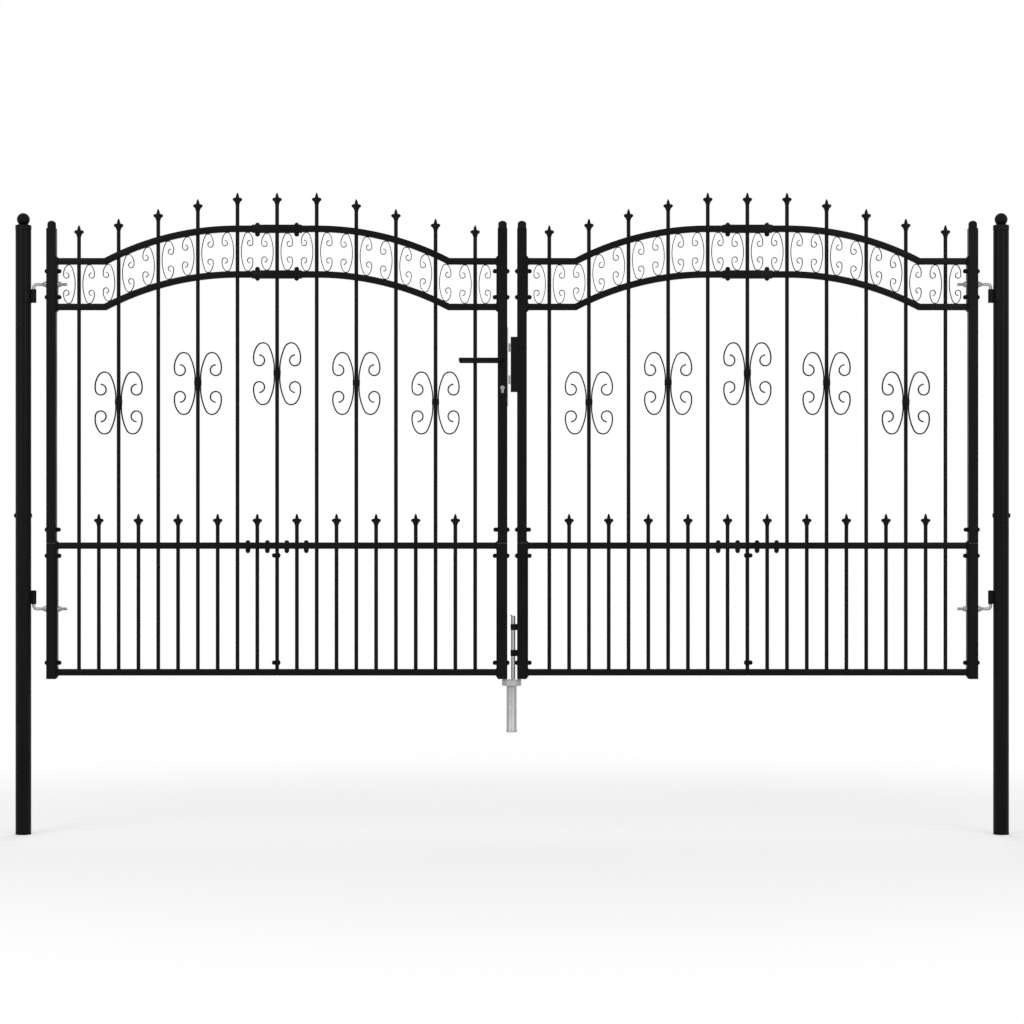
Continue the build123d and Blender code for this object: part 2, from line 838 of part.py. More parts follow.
nodes = {
    "post_lower_tubes": both_sides(post_lower()),
    "post_upper_tubes": both_sides(post_upper()),
    "post_foot_caps": both_sides(foot_cap()),
    "post_ball_caps": both_sides(ball_cap()),
    "hinge_brackets": both_sides(hinge_bracket(upper_hinge_rod_z, 1), hinge_bracket(lower_hinge_rod_z, -1)),
    "ground_socket": [ground_socket()],
    "left_meeting_stile": lock_stile(),
    "right_meeting_stile": mirrored(stile(meeting_stile_x)),
    "lock_body": [lock_body()],
    "key_cylinder": key_cylinder(),
    "lever_roses": roses(),
    "lever_handles": lever(),
    "latch_bolt": bolt(latch_z, True),
    "deadbolt": bolt(deadbolt_z, False),
    "keep_box": keep_box(),
    "drop_bolt": drop_bolt(),
    "drop_bolt_guides": bolt_guides(),
}

leaf_pieces = {
    "hinge_hooks": [hinge_hook(upper_hinge_rod_z, 1), hinge_hook(lower_hinge_rod_z, -1)],
    "hinge_stile": hinge_stile(),
    "stile_caps": [dome_cap(hinge_stile_x), dome_cap(meeting_stile_x)],
    "upper_arch_rail": arch_rail(upper_arch_z),
    "lower_arch_rail": arch_rail(lower_arch_z),
    "arch_sleeves": arch_sleeves(),
    "mid_rail": straight_rail(mid_rail_z, long_bar_places() + short_bar_places()),
    "bottom_rail": straight_rail(bottom_rail_z, []),
    "hinge_end_plates": [upper_plate(hinge_stile_x, 1), lower_plate(hinge_stile_x, 1)],
    "meeting_end_plates": [upper_plate(meeting_stile_x, -1), lower_plate(meeting_stile_x, -1)],
    "long_bars": long_bars(),
    "short_bars": short_bars(),
    "panel_scrolls": panel_scrolls(),
    "scroll_collars": collars(),
    "band_scrolls": band_scrolls(),
}

for name, shapes in leaf_pieces.items():
    nodes["left_" + name] = shapes
    nodes["right_" + name] = mirrored(shapes)

os.makedirs("parts", exist_ok=True)
for name, shapes in nodes.items():
    solids = [solid for shape in shapes for solid in shape.solids()]
    export_step(Compound(solids), "parts/" + name + ".step")
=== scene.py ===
import logging
import math
from collections.abc import Iterable, Sequence
from dataclasses import dataclass, field, replace
from enum import Enum

import bmesh
import bpy
from bmesh.types import BMEdge, BMesh, BMVert
from mathutils import Matrix, Vector


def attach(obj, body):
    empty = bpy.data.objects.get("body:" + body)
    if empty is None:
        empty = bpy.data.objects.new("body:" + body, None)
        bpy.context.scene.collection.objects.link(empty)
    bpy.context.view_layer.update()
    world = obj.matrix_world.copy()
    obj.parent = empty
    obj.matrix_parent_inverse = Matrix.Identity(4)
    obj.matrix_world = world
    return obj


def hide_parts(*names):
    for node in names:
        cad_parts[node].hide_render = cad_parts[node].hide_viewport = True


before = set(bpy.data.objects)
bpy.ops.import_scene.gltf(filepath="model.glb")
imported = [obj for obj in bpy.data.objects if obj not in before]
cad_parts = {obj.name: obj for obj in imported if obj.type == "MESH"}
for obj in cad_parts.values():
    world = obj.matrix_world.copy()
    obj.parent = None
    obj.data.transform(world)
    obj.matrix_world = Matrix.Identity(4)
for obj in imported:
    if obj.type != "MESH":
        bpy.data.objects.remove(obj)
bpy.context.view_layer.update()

# Double driveway gate. Parts are made in millimetres in the gate's own frame, the origin at the
# middle of the left post's foot, and become metres when they are hung on their body.

Point = Sequence[float]
Pair = tuple[float, float]
Outline = Sequence[Pair]

METRES = 0.001
MID_X = 1508.0
HINGE_STILE_X = 87.3
MEETING_STILE_X = 1478.0
STILE_HALF = 15.0
STILE_FOOT = 482.5
SLEEVE_HALF = 12.5
HOOK_X = 32.15
HOOK_LEVELS = ((1696.4, 1.0), (695.7, -1.0))  # height, and 1 where the pin points down
ROD_SIDES = 24
SHARP_ANGLE = math.radians(32.0)
WELD_DISTANCE = 1e-4
NEAR = 0.01
ORIGIN = Vector((0.0, 0.0, 0.0))
X_AXIS, Y_AXIS, Z_AXIS = (Vector(row) for row in Matrix.Identity(3))
FLIP_X, FLIP_Y, FLIP_Z = (Matrix.Scale(-1.0, 4, axis) for axis in (X_AXIS, Y_AXIS, Z_AXIS))
OTHER_SIDE = Matrix.Translation((2 * MID_X, 0.0, 0.0)) @ FLIP_X
WHITE = (1.0, 1.0, 1.0, 1.0)
LOG = logging.getLogger("gate")


class Body(Enum):
    """The moving groups of the gate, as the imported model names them."""

    POSTS = "posts"
    LEFT_LEAF = "left_leaf"
    RIGHT_LEAF = "right_leaf"
    LEVER = "lever"
    LATCH = "latch"
    DEAD_BOLT = "dead_bolt"
    DROP_ROD = "drop_rod"


class Side(Enum):
    """The two leaves; everything is made as the left one and mirrored for the right."""

    LEFT = "left"
    RIGHT = "right"

    @property
    def body(self) -> Body:
        """The body that this leaf's pieces ride on."""
        return Body.LEFT_LEAF if self is Side.LEFT else Body.RIGHT_LEAF


# Nodes and finishes


def linear(colour: str) -> tuple[float, float, float, float]:
    """Turns an sRGB hex colour into linear light.

    Args:
        colour: The colour as "#rrggbb".

    Returns:
        Red, green, blue and a full alpha.
    """
    levels = [int(colour[i : i + 2], 16) / 255.0 for i in (1, 3, 5)]
    red, green, blue = (
        level / 12.92 if level <= 0.04045 else ((level + 0.055) / 1.055) ** 2.4 for level in levels
    )
    return red, green, blue, 1.0


def empty_tree(owner: bpy.types.Material | bpy.types.World) -> bpy.types.NodeTree:
    """Turns on the nodes of a material or world, and clears them.

    Args:
        owner: The material or world.

    Returns:
        Its empty node tree.
    """
    owner.use_nodes = True
    owner.node_tree.nodes.clear()
    return owner.node_tree


def add_node(
    tree: bpy.types.NodeTree,
    kind: str,
    values: dict[str | int, object] | None = None,
    links: dict[str | int, bpy.types.NodeSocket] | None = None,
    **settings: object,
) -> bpy.types.Node:
    """Adds a node to a material or world.

    Args:
        tree: The node tree that it joins.
        kind: The node's type name, without "ShaderNode".
        values: Its inputs' own values, by name or number.
        links: The sockets that feed its inputs, by name or number.
        **settings: Its own properties.

    Returns:
        The new node.
    """
    node = tree.nodes.new("ShaderNode" + kind)
    for name, value in settings.items():
        setattr(node, name, value)
    for key, value in (values or {}).items():
        node.inputs[key].default_value = value
    for key, socket in (links or {}).items():
        tree.links.new(socket, node.inputs[key])
    return node


@dataclass(frozen=True)
class Finish:
    """A surface finish: its slot in the record and the shader values that don't vary.

    The pattern is a cloud of two tones whose size comes from a real one in millimetres, with a
    fine relief over it.
    """

    name: str
    slot: str
    colour: str
    second_colour: str
    roughness: float
    roughness_spread: float
    cloud_size: float
    relief_size: float
    relief_height: float
    metallic: float = 1.0
    specular: float = 0.5
    cloud_stretch: Point = (1.0, 1.0, 1.0)
    tone_stops: Pair = (0.32, 0.68)

    def material(self) -> bpy.types.Material:
        """Makes the finish's material the first time, and finds it after that.

        Returns:
            The material.
        """
        known = bpy.data.materials.get(self.name)
        if known:
            return known
        material = bpy.data.materials.new(self.name)
        tree = empty_tree(material)
        places = add_node(tree, "TexCoord").outputs["Object"]
        stretched = add_node(tree, "Mapping", {"Scale": self.cloud_stretch}, {"Vector": places})
        cloud = self.cloud(tree, stretched.outputs["Vector"])
        ramp = add_node(tree, "ValToRGB", links={"Fac": cloud})
        for element, place in zip(ramp.color_ramp.elements, self.tone_stops):
            element.position = place
        tone = ramp.outputs["Color"]
        tones = {6: linear(self.colour), 7: linear(self.second_colour)}
        colour = add_node(tree, "Mix", tones, {"Factor": tone}, data_type="RGBA")
        middle, spread = self.roughness, self.roughness_spread
        span = {"To Min": middle - spread, "To Max": middle + spread}
        roughness = add_node(tree, "MapRange", span, {"Value": tone})
        scale = 1.0 / (self.relief_size * METRES)
        values = {"Scale": scale, "Detail": 2.0, "Roughness": 0.45}
        grain = add_node(tree, "TexNoise", values, {"Vector": places})
        relief = add_node(
            tree,
            "Bump",
            {"Strength": 1.0, "Distance": self.relief_height * METRES},
            {"Height": grain.outputs["Fac"]},
        )
        shader = add_node(
            tree,
            "BsdfPrincipled",
            {"Metallic": self.metallic, "Specular IOR Level": self.specular},
            {
                "Base Color": colour.outputs[2],
                "Roughness": roughness.outputs["Result"],
                "Normal": relief.outputs["Normal"],
            },
        )
        add_node(tree, "OutputMaterial", links={"Surface": shader.outputs["BSDF"]})
        return material

    def cloud(
        self, tree: bpy.types.NodeTree, places: bpy.types.NodeSocket
    ) -> bpy.types.NodeSocket:
        """Adds the pattern that mixes the two tones.

        Args:
            tree: The material's nodes.
            places: The stretched object coordinates.

        Returns:
            The pattern, from 0 to 1.
        """
        scale = 1.0 / (self.cloud_size * METRES)
        values = {"Scale": scale, "Detail": 4.0, "Roughness": 0.55}
        return add_node(tree, "TexNoise", values, {"Vector": places}).outputs["Fac"]


@dataclass(frozen=True)
class SpangledFinish(Finish):
    """A plated finish whose tones follow crystals, each with an edge of its own."""

    tone_stops: Pair = (0.15, 0.85)

    def cloud(
        self, tree: bpy.types.NodeTree, places: bpy.types.NodeSocket
    ) -> bpy.types.NodeSocket:
        """Adds the crystals' tones.

        Args:
            tree: The material's nodes.
            places: The stretched object coordinates.

        Returns:
            The pattern, from 0 to 1.
        """
        values = {"Scale": 1.0 / (self.cloud_size * METRES), "Randomness": 1.0}
        return add_node(tree, "TexVoronoi", values, {"Vector": places}).outputs["Color"]


# Polyester powder coat, sprayed and baked on shot-blasted steel: satin, with the faint orange
# peel of melted powder, which breaks a highlight up into a soft band
POWDER_COAT = Finish(
    name="satin_black_powder_coat",
    slot="black_powder_coat",
    colour="#0a0a0b",
    second_colour="#0e0e0f",
    roughness=0.4,
    roughness_spread=0.05,
    cloud_size=60.0,
    cloud_stretch=(1.0, 1.0, 0.35),
    relief_size=2.6,
    relief_height=0.012,
    metallic=0.0,
    specular=0.07,
)

# Bright zinc plate, dulled by passivation: a cool grey metal with faint crystal patches
ZINC_PLATE = SpangledFinish(
    name="dull_zinc_plate",
    slot="zinc_plated_steel",
    colour="#9fa0a1",
    second_colour="#a9aaab",
    roughness=0.5,
    roughness_spread=0.04,
    cloud_size=5.0,
    relief_size=1.2,
    relief_height=0.02,
)

# Satin nickel plate on brass: a smooth, slightly warm metal
NICKEL_PLATE = Finish(
    name="satin_nickel_plate",
    slot="nickel_plate",
    colour="#8c8b88",
    second_colour="#989693",
    roughness=0.38,
    roughness_spread=0.05,
    cloud_size=4.0,
    relief_size=0.7,
    relief_height=0.006,
)

# Stainless steel brushed along its length: fine upright streaks that stretch its highlights
BRUSHED_STEEL = Finish(
    name="brushed_stainless_steel",
    slot="lock_steel",
    colour="#bcbdbe",
    second_colour="#c8c9ca",
    roughness=0.45,
    roughness_spread=0.06,
    cloud_size=1.6,
    cloud_stretch=(1.0, 1.0, 0.02),
    relief_size=0.9,
    relief_height=0.003,
)

# Fine-structured matte lacquer on cast aluminium: darker and drier than the powder coat
LEVER_COAT = Finish(
    name="fine_matte_black_lacquer",
    slot="black_lever_coat",
    colour="#09090a",
    second_colour="#0d0d0e",
    roughness=0.46,
    roughness_spread=0.04,
    cloud_size=12.0,
    relief_size=0.8,
    relief_height=0.02,
    metallic=0.0,
    specular=0.07,
)


# Outlines


def bearing(start: Point, end: Point) -> float:
    """The direction from one point to another in the leaf's plane, in radians."""
    return math.atan2(end[1] - start[1], end[0] - start[0])


def arc_points(middle: Pair, radius: float, start: float, end: float, steps: int) -> list[Pair]:
    """Finds points along an arc.

    Args:
        middle: The arc's centre.
        radius: Its radius.
        start: The angle of its first point.
        end: The angle of its last point.
        steps: The lengths between the points.

    Returns:
        The points.
    """
    turns = [start + (end - start) * i / steps for i in range(steps + 1)]
    return [(middle[0] + radius * math.cos(t), middle[1] + radius * math.sin(t)) for t in turns]


def both_ends(corners: Outline, length: float) -> list[Pair]:
    """An outline's first end, and its mirror image at the other end of the given length."""
    return [*corners, *((x, length - z) for x, z in reversed(corners))]


def both_hands(corners: Outline) -> list[Pair]:
    """An outline's right side, and its mirror image on the left."""
    return [*corners, *((-x, z) for x, z in reversed(corners))]


# Making parts


def picked(items: Iterable[object], kind: type) -> list:
    """The items of one kind among those that an operator gives back."""
    return [item for item in items if isinstance(item, kind)]


def soften(part: BMesh, edges: Iterable[BMEdge], width: float, steps: int = 2) -> None:
    """Rounds some of a part's edges.

    Args:
        part: The part.
        edges: The edges to round.
        width: How far the rounding reaches from the edge.
        steps: The flats that it is made of.
    """
    bmesh.ops.bevel(
        part,
        geom=list(edges),
        offset=width,
        offset_type="OFFSET",
        segments=steps,
        profile=0.5,
        affect="EDGES",
        clamp_overlap=True,
        material=-1,
    )


def outward(part: BMesh) -> BMesh:
    """Merges a part's doubles and turns its faces outwards.

    Args:
        part: The part.

    Returns:
        The same part.
    """
    bmesh.ops.remove_doubles(part, verts=part.verts, dist=WELD_DISTANCE)
    bmesh.ops.recalc_face_normals(part, faces=part.faces)
    return part


def cut_across(part: BMesh, at: Point, facing: Point, clear: bool = False) -> None:
    """Cuts a part along a plane.

    Args:
        part: The part.
        at: A point on the plane.
        facing: The direction that the plane faces.
        clear: Whether what lies in front of the plane goes.
    """
    everything = part.verts[:] + part.edges[:] + part.faces[:]
    bmesh.ops.bisect_plane(
        part, geom=everything, plane_co=at, plane_no=facing, clear_outer=clear
    )


def sweep(
    part: BMesh,
    items: list,
    middle: Point,
    axis: Point,
    angle: float,
    steps: int,
    closed: bool = False,
) -> list:
    """Sweeps some of a part round an axis.

    Args:
        part: The part.
        items: The corners, edges or faces that are swept.
        middle: A point on the axis.
        axis: The axis.
        angle: How far they go.
        steps: The flats that the sweep is made of.
        closed: Whether it is a full turn that closes on itself.

    Returns:
        What stands at the end of the sweep.
    """
    return bmesh.ops.spin(
        part,
        geom=items,
        cent=middle,
        axis=axis,
        dvec=ORIGIN,
        angle=angle,
        steps=steps,
        use_merge=closed,
        use_normal_flip=False,
        use_duplicate=False,
    )["geom_last"]


def draw_out(part: BMesh, rim: list[BMEdge], by: Point) -> list[BMEdge]:
    """Draws an open rim of a part out along a straight line.

    Args:
        part: The part.
        rim: The rim's edges.
        by: How far, and which way.

    Returns:
        The edges of the new rim.
    """
    grown = bmesh.ops.extrude_edge_only(part, edges=rim)["geom"]
    moved = set(picked(grown, BMVert))
    bmesh.ops.translate(part, vec=by, verts=list(moved))
    return [edge for edge in picked(grown, BMEdge) if moved.issuperset(edge.verts)]


def turn_out(
    part: BMesh, rim: list[BMEdge], middle: Pair, angle: float, steps: int
) -> list[BMEdge]:
    """Draws an open rim of a part out along an arc in the leaf's plane, from +z towards +x.

    Args:
        part: The part.
        rim: The rim's edges.
        middle: The x and z of the arc's centre.
        angle: The arc's angle.
        steps: The flats that it is made of.

    Returns:
        The edges of the new rim.
    """
    centre = (middle[0], 0.0, middle[1])
    return picked(sweep(part, rim, centre, Y_AXIS, angle, steps), BMEdge)


def bent_rod(
    radius: float, rise: float, bend: float, reach: float, edge: float = 0.8, steps: int = 10
) -> BMesh:
    """Bends a round rod: up from the origin, round a quarter circle, and along x.

    Args:
        radius: Its radius.
        rise: Its straight length before the bend.
        bend: The bend's radius.
        reach: Its straight length after the bend.
        edge: The rounding of its ends.
        steps: The flats of the bend.

    Returns:
        The rod.
    """
    part = bmesh.new()
    bmesh.ops.create_circle(
        part, cap_ends=True, cap_tris=False, segments=ROD_SIDES, radius=radius
    )
    rim = draw_out(part, part.edges[:], (0.0, 0.0, rise))
    rim = turn_out(part, rim, (bend, rise), math.pi / 2, steps)
    rim = draw_out(part, rim, (reach, 0.0, 0.0))
    bmesh.ops.contextual_create(part, geom=rim)
    outward(part)
    far = bend + reach - NEAR
    ends = [e for e in part.edges if all(v.co.z < NEAR or v.co.x > far for v in e.verts)]
    soften(part, ends, edge)
    return part


def block(low: Point, high: Point, edge: float = 0.0, steps: int = 2) -> BMesh:
    """Makes a box with rounded edges.

    Args:
        low: Its lowest corner.
        high: Its highest corner.
        edge: How wide its edges' rounding is.
        steps: The flats of the rounding.

    Returns:
        The box.
    """
    size = Vector(high) - Vector(low)
    middle = (Vector(high) + Vector(low)) / 2
    part = bmesh.new()
    place = Matrix.Translation(middle) @ Matrix.Diagonal((*size, 1.0))
    bmesh.ops.create_cube(part, size=1.0, matrix=place)
    if edge:
        soften(part, part.edges, edge, steps)
    return part


def turned(profile: Outline, sides: int = 40, ring: bool = False) -> BMesh:
    """Turns a profile about the upright axis.

    Args:
        profile: Radius and height of its corners, from the foot up.
        sides: The faces round it.
        ring: Whether the profile is closed, as a tube's is; any other is filled to the axis.

    Returns:
        The turned part.
    """
    part = bmesh.new()
    points = list(profile)
    if not ring and points[0][0]:
        points.insert(0, (0.0, points[0][1]))
    if not ring and points[-1][0]:
        points.append((0.0, points[-1][1]))
    corners = [part.verts.new((radius, 0.0, height)) for radius, height in points]
    following = corners[1:] + corners[:1] if ring else corners[1:]
    edges = [part.edges.new(pair) for pair in zip(corners, following)]
    sweep(part, corners + edges, ORIGIN, Z_AXIS, math.tau, sides, closed=True)
    return outward(part)


def rod(radius: float, length: float, edge: float = 0.6, sides: int = ROD_SIDES) -> BMesh:
    """A round bar that stands on the origin, with a chamfer at its ends."""
    return turned(both_ends(((radius - edge, 0.0), (radius, edge)), length), sides)


def tube(outer: float, inner: float, length: float, edge: float = 0.6) -> BMesh:
    """A tube that stands on the origin, with a chamfer at its mouths."""
    low = ((inner, edge / 2), (inner + edge / 2, 0.0), (outer - edge, 0.0), (outer, edge))
    return turned(both_ends(low, length), ring=True)


def cut_plate(outline: Outline, depth: float, edge: float = 0.0, steps: int = 2) -> BMesh:
    """Makes a plate that stands in the leaf's plane, with its two faces' edges rounded.

    Args:
        outline: The x and z of its corners, in order.
        depth: Its thickness about y = 0.
        edge: How wide the rounding is.
        steps: The flats of the rounding.

    Returns:
        The plate.
    """
    part = bmesh.new()
    corners = [part.verts.new((x, -depth / 2, z)) for x, z in outline]
    face = bmesh.ops.contextual_create(part, geom=corners)["faces"][0]
    grown = bmesh.ops.extrude_face_region(part, geom=[face])["geom"]
    bmesh.ops.translate(part, vec=(0.0, depth, 0.0), verts=picked(grown, BMVert))
    outward(part)
    if edge:
        rims = [e for e in part.edges if abs(e.verts[0].co.y - e.verts[1].co.y) < depth / 2]
        soften(part, rims, edge, steps)
    return part


def round_ended(size: Point, edge: float, steps: int = 14) -> BMesh:
    """Makes an upright plate with half-round ends.

    Args:
        size: Its width, height and thickness.
        edge: The rounding of its faces' edges.
        steps: The flats of each end.

    Returns:
        The plate, about the origin.
    """
    width, height, thick = size
    outline = arc_points((0.0, (height - width) / 2), width / 2, 0.0, math.pi, steps)
    return cut_plate(outline + [(-x, -z) for x, z in outline], thick, edge, steps=3)


# Places


def aimed(at: Point, way: Point) -> Matrix:
    """Finds the place of a part that stands at a point and points some way.

    Args:
        at: Where its origin goes.
        way: The direction that its +Z takes.

    Returns:
        The place.
    """
    turn = Vector(way).to_track_quat("Z", "Y")
    return Matrix.Translation(at) @ turn.to_matrix().to_4x4()


def shifted(x: float = 0.0, y: float = 0.0, z: float = 0.0) -> Matrix:
    """The place of a part that is only moved."""
    return Matrix.Translation((x, y, z))


def on_both(place: Matrix) -> list[Matrix]:
    """A place on the left half of the gate, and its mirror image on the right one."""
    return [place, OTHER_SIDE @ place]


# Hanging parts on their body


def put(name: str, data: bpy.types.ID) -> bpy.types.Object:
    """Puts a new object in the scene.

    Args:
        name: Its name.
        data: Its mesh, light or camera.

    Returns:
        The object.
    """
    thing = bpy.data.objects.new(name, data)
    bpy.context.scene.collection.objects.link(thing)
    return thing


@dataclass
class Workpiece:
    """A piece of the gate while its parts are gathered, in millimetres."""

    name: str
    body: Body
    finish: Finish
    stands_for: tuple[str, ...] = ()
    mesh: BMesh = field(default_factory=bmesh.new)

    def take(self, part: BMesh, places: Iterable[Matrix] = (Matrix(),)) -> None:
        """Adds a part at one or more places, and frees it.

        Args:
            part: The part, made about its own origin.
            places: Where its copies go; a mirrored one keeps its faces outwards.
        """
        pattern = bpy.data.meshes.new("pattern")
        part.to_mesh(pattern)
        part.free()
        for place in places:
            verts, faces = len(self.mesh.verts), len(self.mesh.faces)
            self.mesh.from_mesh(pattern)
            self.mesh.verts.ensure_lookup_table()
            self.mesh.faces.ensure_lookup_table()
            bmesh.ops.transform(self.mesh, matrix=place, verts=self.mesh.verts[verts:])
            if place.determinant() < 0:
                bmesh.ops.reverse_faces(self.mesh, faces=self.mesh.faces[faces:])
        bpy.data.meshes.remove(pattern)

    def hang(self, side: Side = Side.LEFT) -> bpy.types.Object:
        """Makes the piece, in metres, and has it ride on its body.

        Args:
            side: The leaf it is for; the right one's is mirrored about the gate's middle.

        Returns:
            The piece.
        """
        if side is Side.RIGHT:
            bmesh.ops.transform(self.mesh, matrix=OTHER_SIDE, verts=self.mesh.verts)
            bmesh.ops.reverse_faces(self.mesh, faces=self.mesh.faces)
        bmesh.ops.scale(self.mesh, vec=(METRES, METRES, METRES), verts=self.mesh.verts)
        mesh = bpy.data.meshes.new(self.name)
        self.mesh.to_mesh(mesh)
        self.mesh.free()
        mesh.shade_smooth()
        mesh.set_sharp_from_angle(angle=SHARP_ANGLE)
        mesh.materials.append(self.finish.material())
        piece = put(self.name, mesh)
        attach(piece, self.body.value)
        if self.stands_for:
            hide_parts(*self.stands_for)
        LOG.info("%s rides on %s, %d faces", self.name, self.body.value, len(mesh.polygons))
        return piece


def dress_node(node: str, finish: Finish) -> None:
    """Gives a carried-over node its finish.

    Args:
        node: The node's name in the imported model.
        finish: Its finish.
    """
    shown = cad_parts[node]
    if not shown.material_slots:
        shown.data.materials.append(None)
    for slot in shown.material_slots:
        slot.material = finish.material()
    LOG.info("%s keeps its shape, with %s", node, finish.name)


# Bolts and hinge hooks


@dataclass(frozen=True)
class DomeBolt:
    """A bolt with a domed head on one face and a domed nut on the other."""

    head_radius: float = 7.4
    head_rise: float = 7.4
    head_shares: Outline = (
        (1.0, 0.0), (1.0, 0.2), (0.9, 0.44), (0.7, 0.67), (0.46, 0.85), (0.2, 0.96), (0.0, 1.0),
    )
    shank_radius: float = 3.9
    nut_radius: float = 7.7
    nut_height: float = 7.2
    nut_chamfer: Pair = (0.9, 0.7)
    nut_dome_radius: float = 6.5
    nut_dome_rise: float = 4.4
    nut_dome_sunk: float = 0.2

    def head(self) -> BMesh:
        """The dome of the head, standing on its face."""
        radius, rise = self.head_radius, self.head_rise
        return turned([(radius * u, rise * v) for u, v in self.head_shares], sides=24)

    def nut(self) -> BMesh:
        """The six-sided nut, standing on its face."""
        radius, height, (across, up) = self.nut_radius, self.nut_height, self.nut_chamfer
        return turned(((radius, 0.0), (radius, height - up), (radius - across, height)), sides=6)

    def nut_dome(self) -> BMesh:
        """Makes the dome that closes the nut, standing on the nut's own foot.

        Returns:
            The dome.
        """
        radius, low = self.nut_dome_radius, self.nut_height - self.nut_dome_sunk
        round_part = arc_points((0.0, 0.0), 1.0, 0.0, math.pi / 2, steps=5)[:-1] + [(0.0, 1.0)]
        return turned([(radius * u, low + self.nut_dome_rise * v) for u, v in round_part], sides=24)

    def fit(self, work: Workpiece, pairs: Sequence[tuple[Point, Point]]) -> None:
        """Adds bolts to a piece.

        Args:
            work: The piece.
            pairs: For each bolt, where its head sits and where its nut sits.
        """
        ends = [(Vector(head), Vector(nut)) for head, nut in pairs]
        outwards = [aimed(nut, nut - head) for head, nut in ends]
        work.take(self.head(), [aimed(head, head - nut) for head, nut in ends])
        work.take(self.nut(), outwards)
        work.take(self.nut_dome(), outwards)
        for head, nut in ends:
            shank = rod(self.shank_radius, (nut - head).length, sides=12)
            work.take(shank, [aimed(head, nut - head)])


@dataclass(frozen=True)
class Hook:
    """A hinge hook: a threaded rod with its end bent into a pin, two nuts and two washers."""

    radius: float = 4.9
    pin: float = 44.8
    bend: float = 10.0
    arm: float = 16.0
    thread_x: float = 57.95
    thread_length: float = 76.9
    pitch: float = 1.5
    root: float = 4.35
    crest: float = 4.95
    end_chamfer: Pair = (0.6, 0.4)
    nut_end: Outline = ((8.9, 0.0), (9.7, 0.9))
    nut_height: float = 8.0
    washer_radius: float = 12.0
    washer_height: float = 2.0

    def fit(self, work: Workpiece, level: float, way: float, faces: Pair) -> None:
        """Adds a hook to a piece.

        Args:
            work: The piece.
            level: The height of the hook's rod.
            way: 1 where its pin points down, -1 where it points up.
            faces: The x of the outer and the inner face that its nuts clamp.
        """
        place = shifted(x=HOOK_X, z=level) @ (FLIP_Z if way < 0 else Matrix())
        bent = bent_rod(self.radius, self.pin, self.bend, self.arm)
        work.take(bent, [place @ shifted(z=-self.pin - self.bend)])
        work.take(self.thread(), [aimed((self.thread_x, 0.0, level), X_AXIS)])
        ends = list(zip(faces, (-X_AXIS, X_AXIS)))
        seats = [aimed((x, 0.0, level), out) for x, out in ends]
        nut = turned(both_ends(self.nut_end, self.nut_height), sides=6)
        work.take(nut, [seat @ shifted(z=self.washer_height) for seat in seats])
        work.take(rod(self.washer_radius, self.washer_height, edge=0.4, sides=32), seats)

    def thread(self) -> BMesh:
        """Makes the threaded length of the rod.

        Returns:
            The rod, standing on the origin.
        """
        across, up = self.end_chamfer
        profile = [(self.root, 0.0)]
        for i in range(int(self.thread_length / self.pitch) - 1):
            profile += [(self.root, (i + 0.5) * self.pitch), (self.crest, (i + 1) * self.pitch)]
        profile.append((self.root, self.thread_length - up))
        profile.append((self.root - across, self.thread_length))
        return turned(profile, sides=16)


# Posts


